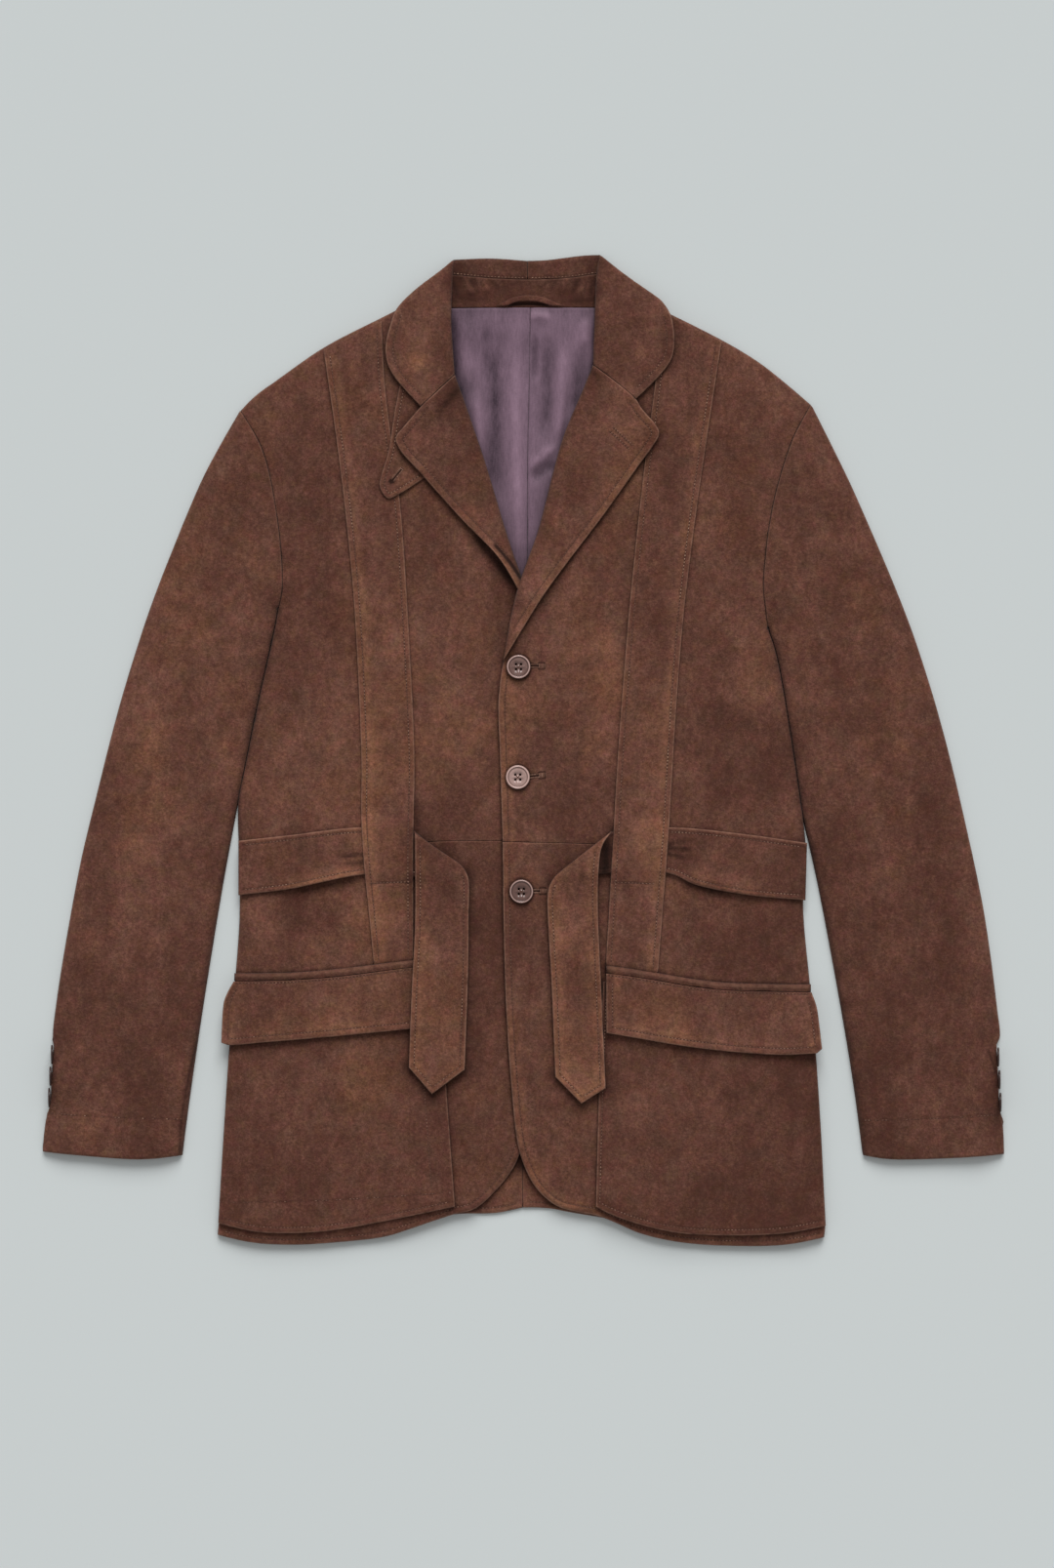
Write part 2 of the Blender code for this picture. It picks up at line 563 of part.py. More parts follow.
def panel_outlines():
    """Every cloth piece's outline, by its name."""
    cut = {"collar_back": pattern("collar_fold_left", "collar_fold_right", "collar_shoulder_right",
                                  "-collar_back_edge", "-collar_shoulder_left"),
           "neck_facing": pattern("stand_seam_left", "stand_seam_right", "facing_end_right",
                                  "-lining_neck_right", "-lining_neck_left", "-facing_end_left"),
           "collar_stand_left": pattern("stand_seam_left", "stand_centre", "-collar_fold_left",
                                        "-stand_end_left"),
           "collar_stand_right": pattern("stand_seam_right", "stand_end_right", "-collar_fold_right",
                                         "-stand_centre"),
           "lining_left": pattern("lining_neck_left", "lining_seam", "-lining_edge_left"),
           "lining_right": pattern("lining_neck_right", "lining_edge_right", "-lining_seam")}
    for side in ("left", "right"):
        sleeve = pattern(f"armhole_{side}", f"underarm_{side}", f"sleeve_inner_{side}", f"cuff_{side}",
                         f"sleeve_outer_{side}")
        cut[f"sleeve_under_{side}"] = sleeve
        cut[f"sleeve_top_{side}"] = sleeve
        body_side = (f"underarm_{side}", f"side_upper_{side}")
        low_side = (f"side_belt_{side}", f"side_pocket_{side}", f"side_hem_{side}")
        cut[f"back_{side}"] = pattern(f"shoulder_{side}", f"armhole_{side}", *body_side, *low_side,
                                      f"back_hem_{side}", "-back_seam", f"-back_neck_{side}")
        cut[f"front_{side}_upper"] = pattern(f"shoulder_{side}", f"armhole_{side}", *body_side,
                                             f"waist_seam_{side}", f"-front_edge_{side}",
                                             f"-neck_edge_{side}")
        cut[f"front_{side}_lower"] = pattern(*low_side, f"-front_hem_{side}", f"-front_curve_{side}",
                                             f"-waist_seam_{side}")
        cut[f"lapel_{side}"] = pattern(f"gorge_seam_{side}", f"lapel_edge_{side}", f"-lapel_roll_{side}")
        cut[f"collar_{side}"] = pattern(f"collar_shoulder_{side}", f"collar_point_{side}",
                                        f"-gorge_seam_{side}", f"collar_roll_{side}")
        cut[f"pocket_{side}"] = pocket(side)
        cut[f"welt_{side}"], cut[f"flap_{side}"] = welt_and_flap(side)
        for piece in ("strap", "belt", "belt_end"):
            cut[f"{piece}_{side}"] = trim(f"{piece}_{side}")
    for piece in ("hanger_loop", "throat_tab"):
        cut[piece] = trim(piece)
    return cut


def front_side(side):
    """One front with all that is sewn on it, in the order of laying."""
    groups = [
        ((f"front_{side}_upper", BODY_SUEDE, FRONT_LOFT, BODY_PITCH, "suede"),
         (f"front_{side}_lower", BODY_SUEDE, FRONT_LOFT, BODY_PITCH, "suede")),
        ((f"pocket_{side}", TRIM_SUEDE, POCKET_LOFT, BODY_PITCH, "suede"),),
        ((f"belt_{side}", DOUBLED_SUEDE, 0, TRIM_PITCH, "suede"),),
        ((f"strap_{side}", TRIM_SUEDE, 0, TRIM_PITCH, "suede"),),
        ((f"welt_{side}", DOUBLED_SUEDE, 0, TRIM_PITCH, "suede"),
         (f"flap_{side}", DOUBLED_SUEDE, 0, BODY_PITCH, "suede")),
        ((f"belt_end_{side}", DOUBLED_SUEDE, 0, TRIM_PITCH, "suede"),),
    ]
    if side == "left":
        groups.append((("throat_tab", TRIM_SUEDE, 0, TRIM_PITCH, "suede"),))
    groups.append(((f"lapel_{side}", DOUBLED_SUEDE, 0, TRIM_PITCH, "suede"),))
    return groups


def laying_order():
    """Groups of panels from the table upwards: name, thickness, loft, facet size, colour."""
    under = [
        (("collar_back", COLLAR_SUEDE, 0, BODY_PITCH, "suede"),),
        (("back_left", BODY_SUEDE, 0, BODY_PITCH, "suede"),
         ("back_right", BODY_SUEDE, 0, BODY_PITCH, "suede")),
        (("lining_left", SATIN, 0, BODY_PITCH, "satin"),
         ("lining_right", SATIN, 0, BODY_PITCH, "satin")),
        (("neck_facing", TRIM_SUEDE, 0, TRIM_PITCH, "suede"),),
        (("collar_stand_left", COLLAR_SUEDE, 0, TRIM_PITCH, "suede"),
         ("collar_stand_right", COLLAR_SUEDE, 0, TRIM_PITCH, "suede")),
        (("hanger_loop", TRIM_SUEDE, 0, TRIM_PITCH, "suede"),),
    ]
    sleeves = []
    for side in ("left", "right"):
        sleeves.append(((f"sleeve_under_{side}", BODY_SUEDE, 0, BODY_PITCH, "suede"),))
        sleeves.append(((f"sleeve_top_{side}", BODY_SUEDE, SLEEVE_LOFT, BODY_PITCH, "suede"),))
    collars = [((f"collar_{side}", COLLAR_SUEDE, 0, TRIM_PITCH, "suede"),) for side in ("left", "right")]
    return under + sleeves + front_side("left") + front_side("right") + collars


COLLECTION = "belted_suede_jacket"

for old in list(bpy.data.objects):
    bpy.data.objects.remove(old)
bpy.context.scene.collection.children.link(bpy.data.collections.new(COLLECTION))

garment = Pile()
cut_outlines = panel_outlines()
for sewn_group in laying_order():
    lay(sewn_group, cut_outlines, garment)

for number, (x, y) in enumerate(FRONT_BUTTONS, 1):
    seat = garment.height(x, y, FRONT_BUTTON["radius"]) + SEAM_GAP
    make_button(f"front_button_{number}", FRONT_BUTTON, (x, y, seat), 0)
for cuff_side, (first, step) in CUFF_ROWS.items():
    outward = -1 if cuff_side == "left" else 1
    for number in range(CUFF_COUNT):
        row = first + step * number
        rise = CUFF_BUTTON["radius"] * math.cos(CUFF_LEAN) + SEAM_GAP
        reach = sleeve_reach(cuff_side, row, 0.5 * CUFF_BUTTON["radius"]) + SEAM_GAP
        reach -= (rise - SLEEVE_EDGE) * math.tan(CUFF_LEAN)
        turn = outward * (math.pi / 2 - CUFF_LEAN)
        make_button(f"cuff_button_{cuff_side}_{number + 1}", CUFF_BUTTON, (outward * reach, row, rise), turn)
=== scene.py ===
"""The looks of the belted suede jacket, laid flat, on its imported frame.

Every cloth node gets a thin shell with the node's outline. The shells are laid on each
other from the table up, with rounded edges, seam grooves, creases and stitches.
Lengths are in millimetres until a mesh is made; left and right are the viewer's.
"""

import math
from collections import namedtuple

import bpy
import numpy as np
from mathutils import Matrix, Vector
from mathutils.geometry import delaunay_2d_cdt


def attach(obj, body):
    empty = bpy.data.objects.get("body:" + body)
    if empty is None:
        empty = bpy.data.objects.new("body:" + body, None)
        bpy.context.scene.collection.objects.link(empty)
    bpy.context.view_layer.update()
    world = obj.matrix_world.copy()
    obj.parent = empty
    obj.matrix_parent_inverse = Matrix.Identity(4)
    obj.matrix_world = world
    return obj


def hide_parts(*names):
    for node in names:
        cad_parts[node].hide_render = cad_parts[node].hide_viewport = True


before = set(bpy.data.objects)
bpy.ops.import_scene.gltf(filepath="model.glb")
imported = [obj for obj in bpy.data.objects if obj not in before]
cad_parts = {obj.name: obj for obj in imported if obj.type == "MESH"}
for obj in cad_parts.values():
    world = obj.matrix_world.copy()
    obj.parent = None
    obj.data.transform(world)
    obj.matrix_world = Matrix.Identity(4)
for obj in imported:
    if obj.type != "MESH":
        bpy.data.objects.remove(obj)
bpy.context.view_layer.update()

MM = 0.001

# The photo's frame, and how its pixels lie on the table
PHOTO_SIZE = (1080, 1607)
MM_PER_PIXEL = 0.8
ORIGIN_PIXEL = (535.5, 767.5)
CAMERA_HEIGHT = 3000.0
SENSOR = 36.0
TABLE_HALF = 6.0        # metres
SKY_STRENGTH = 0.34
# The lamp: where its light comes from, how wide it looks in degrees, and its strength
WINDOW = ((0.1, 1.5, 1.1), 38, 2.1)

# Height map of what has been laid so far
CELL = 1.5
MAP_LOW = np.array([-420.0, -432.0])
MAP_SHAPE = (577, 561)

CORNER_TURN = 32.0      # degrees, from which an outline has a corner
UPPER_TILT = 0.3        # upward share of its normal, from which a face is on a node's upper side
OUTLINE_STEP = 2.6      # spacing of points along an outline
CURVE_PARTS = 8         # parts of a curve between two knots
LINE_STEP = 2.0         # spacing of points along a line inside a piece
LAYER_GAP = 0.2
MAP_MARGIN = 10         # cells around a piece's outline
BLUR_ROUNDS = 3         # plain means, each way, that make one soft mean
SETTLE_ROUNDS = 5       # times that a piece is softened over the pile
WIDE_BLUR = 6           # cells over which its height runs on outside its outline
FLOOR_REACH = 8         # cells over which a piece's underside stays below its troughs
RINGS = (0.35, 0.8, 1.5, 2.4, 3.4, 4.4, 5.4, 6.6, 8.4)   # distances from the edge with their own points
SEWN_ROWS = (0.0, -0.75, 0.75)                           # the same beside a row of stitches
LINE_ROWS = (0.0, -0.7, 0.7, -1.5, 1.5, -2.6, 2.6)       # the same beside a line inside a piece
RING_PITCHES = 2.5      # rings end at this many times the spacing of a piece's points
MITRE_LIMIT = 0.6       # keeps rings near a sharp corner
# Shares of its distance, or of the spacing, by which a point clears the edge
RING_LEEWAY, SEWN_LEEWAY, STITCH_LEEWAY, GRID_LEEWAY = 0.93, 0.7, 0.9, 0.55
UNDER_PITCHES = 4       # the underside's spacing, in spacings of the upper side
LEAST_UNDER_PITCH = 18
UNDER_MARGIN = 5

# How an edge is finished. round: radius of the edge; drop: how far it curls down; ridge: puff
# between edge and stitches; inset: stitches from the edge; wear (and painted light): the pale rim,
# partly rubbed and partly a painted highlight; margin: paler up to the stitches; dim: painted shade
# towards the edge; cast and spread: how dark the painted shadow is that it casts on what lies under
# it, and how far; lift: stands off; run: distance over which the piece swells to its loft; least:
# share of the loft left at the edge; close: reaches over the gap to its neighbour; pale: how much
# paler or darker its thread is; puff: a painted highlight, paler beyond the stitches
Edge = namedtuple("Edge", "round drop ridge inset wear margin dim cast spread lift run least close pale puff",
                  defaults=(1.1, 0.0, 0.0, 0.0, 0.0, 0.0, 0.0, 0.0, 5.0, 0.0, 0.0, 1.0, 0.0, 0.0, 0.0))
EDGES = {
    "plain": Edge(round=1.2, wear=0.05),
    "butt": Edge(round=0.4, close=0.2),
    "tucked": Edge(round=0.6, close=2.6),
    "ledge": Edge(round=1.0, wear=0.1, cast=0.3),
    "seam": Edge(round=1.0, drop=0.25, ridge=0.2, wear=0.4, run=14.0, least=0.55, close=0.2),
    "waist": Edge(round=0.4, ridge=0.12, wear=0.3, close=0.15),
    "flap_top": Edge(round=0.5, inset=1.6, cast=0.55, spread=0.8, close=0.2),
    "stand": Edge(round=1.2, drop=0.3, ridge=0.2, inset=1.3, wear=0.5, cast=0.3, spread=1.2, pale=0.4),
    "turned": Edge(round=1.2, ridge=0.3, inset=4.4, wear=0.9, margin=0.1, lift=0.5, run=14.0, least=0.5),
    "front_edge": Edge(round=1.2, ridge=0.55, inset=5.4, wear=1.6, margin=0.65, cast=0.75, spread=0.9,
                       lift=0.8, run=10.0, least=0.5, pale=-0.5, puff=0.5),
    "front_under": Edge(round=1.2, ridge=0.4, inset=5.4, wear=0.9, cast=0.75, spread=0.9, lift=0.8, run=10.0,
                        least=0.5, pale=-0.3),
    "pocket_side": Edge(round=1.0, ridge=0.15, inset=18.0, wear=0.8, cast=0.55, spread=1.5, lift=0.4),
    "pocket_edge": Edge(round=1.0, ridge=0.15, inset=3.2, wear=1.0, margin=0.4, cast=0.4, spread=1.4,
                        lift=0.3, pale=0.3),
    "pocket_hem": Edge(ridge=0.25, inset=4.6, wear=0.9, cast=0.35, spread=1.8, lift=1.2),
    "band": Edge(ridge=0.25, inset=4.0, wear=1.0, margin=0.2, cast=0.35, spread=1.3, lift=0.5, pale=0.4),
    "tail": Edge(ridge=0.2, inset=4.2, wear=1.3, margin=0.1, cast=0.5, spread=4.0, lift=1.6, pale=0.4,
                 puff=0.3),
    "tail_top": Edge(round=2.0, drop=0.8, cast=0.35, lift=1.2),
    "strap_outer": Edge(round=1.0, ridge=0.15, inset=4.6, wear=1.1, margin=0.2, cast=0.28, spread=1.4,
                        lift=0.2, pale=0.5, puff=0.5),
    "strap_inner": Edge(round=1.0, ridge=0.15, inset=4.4, wear=1.1, margin=0.1, cast=0.32, spread=1.4,
                        lift=0.2, pale=0.2, puff=0.1),
    "collar": Edge(round=1.2, ridge=0.3, inset=6.2, wear=1.1, margin=0.1, cast=0.5, spread=4.0, lift=1.4),
    "lapel": Edge(round=1.2, ridge=0.3, inset=6.0, wear=1.1, margin=0.4, cast=0.6, spread=2.2, lift=1.8,
                  pale=-0.4, puff=0.2),
    "gorge": Edge(round=1.0, drop=0.2, ridge=0.25, wear=0.9, close=0.1),
    "flap": Edge(round=1.2, ridge=0.3, inset=5.2, wear=1.2, cast=0.5, spread=1.5, lift=2.4, puff=0.3),
    "fold": Edge(round=3.5, drop=1.5, wear=0.5, run=26.0, least=0.0),
    "sleeve_fold": Edge(round=3.0, drop=1.2, wear=0.5, run=26.0, least=0.0, close=0.5),
    "button_side": Edge(round=1.6, drop=0.8, wear=0.4, run=26.0, least=0.0, close=1.5),
    "under_fold": Edge(round=3.5, drop=1.5, run=26.0, least=0.0, close=0.4),
    "underarm": Edge(round=3.5, drop=1.5, dim=0.35, run=26.0, least=0.0),
    "roll": Edge(round=4.0, drop=3.2, wear=0.2, dim=0.2, cast=0.45, spread=6.0),
    "cuff": Edge(round=1.6, drop=0.4, ridge=0.2, wear=0.6, run=22.0, least=0.6),
    "piping": Edge(round=2.8, drop=0.9, ridge=0.2, dim=0.25, cast=0.85, spread=1.2),
}
GROOVE_DEPTH = 0.4
GROOVE_WIDTH = 0.8
# painted shade in the groove of a row of stitches
GROOVE_DARK = 0.15
PUFF_PLACE = 2.6        # from the stitches to the middle of the strip with a painted highlight
PUFF_REACH = 3.0
LIFT_RUN = 14.0
WEAR_AND_HIGHLIGHT_PLACE = 0.5        # from the edge to the middle of its pale rim, rubbed and with a painted highlight
WEAR_AND_HIGHLIGHT_REACH = 0.5
DIM_REACH = 4.0
CAST_ROWS = (0.3, 1.1, 2.4, 4.2, 7.0)   # a piece's own points beside the edges that lie on it

# Points that part an edge into stretches with different finishes
PIT = {"left": (-200.5, 113.6), "right": (201, 100)}    # under the arms
SPLITS = {
    "sleeve_top_left": (PIT["left"], (-384, -239), (-390, -301)),
    "sleeve_top_right": (PIT["right"], (390, -243), (392, -306)),
    "front_left_upper": (PIT["left"],), "front_right_upper": (PIT["right"], (-16, 71)),
    "front_left_lower": ((-56, -381),), "front_right_lower": ((60, -381.8),),
    "belt_end_left": ((-46, -102),), "belt_end_right": ((23, -110),),
    "lapel_left": ((-83.3, 279.2),), "lapel_right": ((92.8, 285.6),),
    "collar_left": ((-104, 358),), "collar_right": ((120, 357),),
}

# The pieces from the table up. soft: how far it bridges steps under it; pitch: spacing of its
# points; wave: height of its unevenness; tone: paler or darker than the rest; edges: one finish
# for each stretch, anticlockwise from the topmost corner; under: what it lies on
Piece = namedtuple("Piece", "node thick loft soft pitch wave tone edges under")
PIECES = [Piece(*row) for row in (
    ("collar_back", 2.2, 0.0, 6, 8, 0.0, 0.0, "fold fold turned fold", "table"),
    ("back_left", 2.0, 0.0, 12, 12, 0.0, 0.0, "plain plain turned seam", "table"),
    ("back_right", 2.0, 0.0, 12, 12, 0.0, 0.0, "seam turned plain plain", "table"),
    ("lining_left", 0.8, 2.2, 9, 3.5, 0.4, 0.0, "seam plain seam", "back_left"),
    ("lining_right", 0.8, 2.2, 9, 3.5, 0.4, 0.0, "seam plain seam", "back_right"),
    ("neck_facing", 1.5, 0.0, 6, 1.8, 0.5, -0.8, "seam plain ledge plain", "back_left"),
    ("collar_stand_left", 2.2, 0.0, 5, 3, 0.2, -0.4, "plain stand seam roll", "collar_back"),
    ("collar_stand_right", 2.2, 0.0, 5, 3, 0.2, -0.4, "roll seam stand plain", "collar_back"),
    ("hanger_loop", 1.6, 0.0, 4, 2.5, 0.0, -0.6, "plain plain", "neck_facing"),
    ("sleeve_under_left", 2.0, 0.0, 8, 12, 0.0, 0.0, "fold cuff under_fold", "table"),
    ("sleeve_under_right", 2.0, 0.0, 8, 12, 0.0, 0.0, "under_fold cuff fold", "table"),
    ("sleeve_top_left", 2.0, 6.0, 8, 5, 0.7, 0.0,
     "sleeve_fold button_side sleeve_fold cuff underarm seam", "sleeve_under_left"),
    ("sleeve_top_right", 2.0, 6.0, 8, 5, 0.7, -0.15,
     "seam underarm cuff sleeve_fold button_side sleeve_fold", "sleeve_under_right"),
    ("front_left_upper", 2.0, 3.5, 9, 5, 0.6, 0.0, "fold seam underarm waist plain", "back_left"),
    ("front_left_lower", 2.0, 3.5, 9, 5, 0.6, 0.0, "waist fold turned front_under", "back_left"),
    ("pocket_left", 1.5, 1.0, 9, 5, 0.6, -0.3, "plain fold pocket_hem pocket_side", "front_left_lower"),
    ("belt_left", 2.5, 0.0, 8, 2.4, 0.4, 0.0, "band plain band plain", "front_left_lower"),
    ("strap_left", 1.5, 0.0, 7, 4, 0.3, 0.1, "plain strap_outer tucked strap_inner", "front_left_upper"),
    ("welt_left", 2.6, 0.0, 7, 3, 0.1, 0.0, "piping piping butt piping", "front_left_lower"),
    ("flap_left", 2.5, 0.0, 9, 4, 0.4, 0.15, "flap_top flap flap plain", "pocket_left"),
    ("belt_end_left", 2.5, 0.0, 9, 4, 0.4, 0.35, "tail tail tail tail tail_top", "belt_left"),
    ("throat_tab", 1.6, 0.0, 7, 3, 0.2, -0.1, "band plain plain", "front_left_upper"),
    ("lapel_left", 2.5, 0.0, 9, 4, 0.4, -0.4, "gorge lapel roll", "front_left_upper"),
    ("front_right_upper", 2.0, 3.5, 9, 5, 0.6, 0.0,
     "plain front_edge waist underarm seam fold", "back_right"),
    ("front_right_lower", 2.0, 3.5, 9, 5, 0.6, 0.0, "front_edge turned fold waist", "back_right"),
    ("pocket_right", 1.5, 1.0, 9, 5, 0.6, -0.65,
     "pocket_edge pocket_hem fold plain", "front_right_lower"),
    ("belt_right", 2.5, 0.0, 8, 2.4, 0.4, -0.45, "plain band plain band", "front_right_lower"),
    ("strap_right", 1.5, 0.0, 7, 4, 0.3, 0.0,
     "strap_inner tucked strap_outer plain", "front_right_upper"),
    ("welt_right", 2.6, 0.0, 7, 3, 0.1, 0.0, "piping butt piping piping", "front_right_lower"),
    ("flap_right", 2.5, 0.0, 9, 4, 0.4, 0.0, "flap flap flap flap flap_top", "pocket_right"),
    ("belt_end_right", 2.5, 0.0, 9, 4, 0.4, 0.5, "tail_top tail tail tail tail", "belt_right"),
    ("lapel_right", 2.5, 0.0, 9, 4, 0.4, 0.0, "roll lapel gorge", "front_right_upper"),
    ("collar_left", 2.3, 0.0, 9, 4, 0.4, -0.05, "fold collar gorge roll", "lapel_left"),
    ("collar_right", 2.3, 0.0, 9, 4, 0.4, -0.35, "roll gorge collar fold", "lapel_right"),
)]
SATIN_NODES = ("lining_left", "lining_right")

# Lines inside a piece. depth and width: its groove; dark: painted shade in it, a painted highlight when below
# 0; sewn: share of its stitches
Line = namedtuple("Line", "depth width dark sewn")
LINE_KINDS = {
    "stitches": Line(0.45, 0.8, 0.4, 1.0),
    "faint": Line(0.2, 0.8, 0.2, 0.4),
    "slit": Line(0.7, 0.45, 1.3, 0.0),
    "eyelet": Line(0.7, 1.7, 2.0, 0.0),
    "gap": Line(1.2, 1.3, 1.6, 0.0),
    "mark": Line(0.3, 1.0, 0.5, 0.0),
    "bound": Line(0.25, 0.55, 0.85, 0.0),
    "rim": Line(-0.4, 1.0, -0.9, 0.0),
    "turn": Line(0.6, 1.3, 1.2, 0.0),
    "crest": Line(-0.6, 1.9, -0.5, 0.0),
}
# Buttonholes: the ends of the slit, and the length of the stitched bar beyond it
BUTTONHOLES = {
    "front_right_upper": (((6, 67.6), (13, 67.6), 5.0), ((6, -22.8), (13.4, -22), 5.0)),
    "front_right_lower": (((8.4, -116.4), (14, -116.4), 5.0),),
    "throat_tab": (((-106.0, 219.4), (-99.0, 228), 1.2),),
}
# A sewn-up buttonhole in the lapel: the ends of its two rows of stitches
LAPEL_HOLE = ((72.5, 261), (88.0, 246.5))
LINES = {
    "sleeve_top_left": (("faint", ((-391, -298), (-340, -301), (-278, -303))),
                        ("mark", ((-262, -225), (-272, -263), (-279.5, -308), (-280.5, -331)))),
    "sleeve_top_right": (("faint", ((279, -304), (340, -302), (396, -299))),
                         ("mark", ((381, -246), (388, -266)))),
    "neck_facing": (("gap", ((-11.6, 363.2), (4.4, 364.0), (20.4, 363.2))),),
    "welt_left": (("crest", ((-234, -186), (-188, -185), (-148, -181.8), (-108, -176.8), (-73, -172.6))),),
    "welt_right": (("crest", ((70, -179.6), (100, -183.7), (132, -189.3), (160, -192.9), (192, -194.3),
                              (234, -194.9))),),
    "lapel_left": (("turn", ((-22, 165.4), (-14.8, 157.6), (-7.6, 148), (-2.4, 140.4))),),
    "belt_end_right": (("rim", ((72, -68.8), (66.6, -75), (64.2, -84), (63.2, -100))),),
    "strap_left": (("stitches", ((-132, -110.2), (-84, -108.4))),),
    "strap_right": (("stitches", ((70, -109), (124, -111))),),
    "pocket_left": (("faint", ((-248, -371), (-160, -369), (-52, -362))),),
    "front_right_upper": (("stitches", ((121, 350), (165, 336))),),
    "throat_tab": (("eyelet", ((-107.0, 218.2), (-106.6, 218.6))),),
}

# Main creases, by piece: x0, y0, x1, y1 of the line, its bow, its width and its height
CREASES = {
    "lining_left": (
        (-22, 336, -18, 200, -3, 5.5, -2.9), (-7, 356, -3, 150, 0, 5, 2.4), (-45, 352, -45, 296, 0, 8, 1.8),
        (-39, 292, -33, 236, 0, 5, 2.2), (-58, 360, -56, 296, 0, 4, -2.4),
        (-32, 350, -29, 300, 1, 3.5, -1.4), (-30, 262, -24, 206, 0, 3.5, -1.6),
    ),
    "lining_right": (
        (0, 350, 25, 350, 4, 4, 2.0), (10, 340, 9, 300, 0, 2.6, -2.2), (21, 338, 18, 250, 0, 5, -2.3),
        (32, 336, 27, 240, 2, 5, 2.4), (51, 334, 42, 270, 0, 5, -2.6), (50, 352, 51, 328, 0, 3.5, 1.6),
        (5, 228, 27, 248, 1, 3.5, 2.1), (8, 220, 27, 234, 1, 4.5, -2.5), (62, 352, 58, 300, 0, 4, -2.0),
        (38, 300, 32, 240, 0, 3, -1.2),
    ),
    "neck_facing": (
        (-58, 388, -49, 366, 2, 2.6, -2.0), (-52, 390, -41, 368, 2, 1.8, 1.7),
        (-44, 388, -32, 370, -1, 2.0, -1.8), (-36, 386, -27, 371, 1, 1.6, 1.4),
        (-27, 386, -18, 373, 1, 2.0, -1.6), (-16, 386, -12, 378, 0, 2.0, 1.2),
        (-4, 386, 2, 380, 0, 1.8, -1.2), (20, 386, 13, 378, 1, 1.8, 1.2), (30, 386, 22, 374, -1, 2.0, -1.6),
        (36, 388, 30, 370, 1, 1.6, 1.4), (47, 388, 38, 370, 1, 2.0, -1.8), (54, 390, 46, 370, 0, 1.6, 1.5),
        (62, 390, 53, 368, -1, 2.2, -2.0), (-60, 370, -26, 367, 2, 1.8, -1.2),
        (34, 367, 66, 371, -2, 1.8, -1.2),
    ),
    "hanger_loop": ((-24, 364, 36, 364, 0, 14, 0.7),),
    "sleeve_top_left": (
        (-296, 70, -322, -150, 4, 16, 1.0), (-258, -50, -285, -230, -2, 13, -1.2),
        (-332, -40, -352, -230, 2, 11, -0.7), (-262, 190, -292, 60, 0, 14, 0.6),
    ),
    "sleeve_top_right": (
        (300, 80, 330, -150, -4, 16, 1.0), (256, -40, 284, -230, 2, 13, -1.0),
        (340, -60, 362, -240, -2, 11, -0.7), (258, 180, 276, 80, 0, 14, 0.6),
    ),
    "front_right_upper": ((140, 30, 222, -24, 4, 14, -2.0), (178, 75, 200, 30, 0, 16, 1.2)),
    "front_left_lower": ((-186, -118, -184, -168, 3, 11, -1.6), (-215, -112, -214, -170, 0, 13, 0.8)),
    "belt_left": (
        (-158, -89, -122, -86, 1, 1.7, -1.3), (-150, -96, -122, -91, 1, 1.5, -1.1),
        (-152, -92.5, -124, -89, 0, 1.6, 0.7), (-150, -82, -122, -82, -1, 2.2, -0.6),
        (-205, -115, -126, -101, -2, 9, 2.6),
    ),
    "belt_right": (
        (114, -80, 140, -75, 1, 1.6, -1.1), (114, -82, 142, -83, 0, 1.5, -1.2),
        (114, -84, 138, -91, -1, 1.6, -1.0), (116, -88, 132, -99, -1, 2, -0.7),
        (114, -81, 138, -79, 0, 1.4, 0.6), (128, -84, 136, -112, 2, 6, -1.2),
        (120, -98, 205, -119, -2, 9, 2.8), (150, -84, 158, -112, 1, 8, 0.8),
    ),
    "lapel_left": ((-34, 168, 2, 120, 0, 7, 4.0),),
}
CREASE_TONE = 0.3       # painted highlight on a crease's ridge and painted shade in its trough, for each millimetre of its height

# Deep shade where cloth stands off what is under it, written like the creases, the shade last
STREAKS = {
    "front_left_upper": ((-46, 182, 0, 126, 0, 5, 0.85), (-87, -38, -86, -68, 0, 3, 0.5)),
    "front_left_lower": ((-192, -120, -130, -106, 0, 4, 0.6),),
    "front_right_lower": ((128, -107, 172, -120, 0, 4, 0.6),),
    "neck_facing": (
        (-60, 386, -53, 368, 1, 2.4, 0.5), (-44, 386, -34, 371, -1, 1.8, 0.4),
        (-27, 384, -19, 374, 1, 1.7, 0.35), (29, 385, 23, 375, -1, 1.7, 0.35),
        (46, 387, 39, 371, 1, 1.8, 0.4), (62, 388, 55, 369, -1, 2.2, 0.5),
        (-60, 368, -26, 366, 1, 2.0, 0.4), (36, 366, 66, 369, -1, 2.0, 0.4),
    ),
    "belt_left": ((-150, -88.4, -122, -86.2, 0.5, 1.9, 0.7), (-146, -95.6, -122, -90.8, -0.5, 1.8, 0.6)),
    "belt_right": (
        (69, -70, 67, -112, 0, 6, 0.95), (114, -79.8, 137, -76.0, 0.5, 1.8, 0.6),
        (114, -82, 139, -82.8, 0.4, 1.7, 0.7), (114, -84.2, 135, -89.6, -0.5, 1.8, 0.6),
    ),
    "lapel_left": ((-49, 299, -74, 271, 1, 3.2, 0.6), (-66, 272, -84, 260, 0, 3.0, 0.22)),
    "lapel_right": ((53, 312, 64, 299, 0, 3.2, 0.5),),
    "back_left": ((-3, -328, -1, -348, 0, 4, 0.8),),
    "back_right": ((1, -330, 0, -348, 0, 3, 0.8),),
}
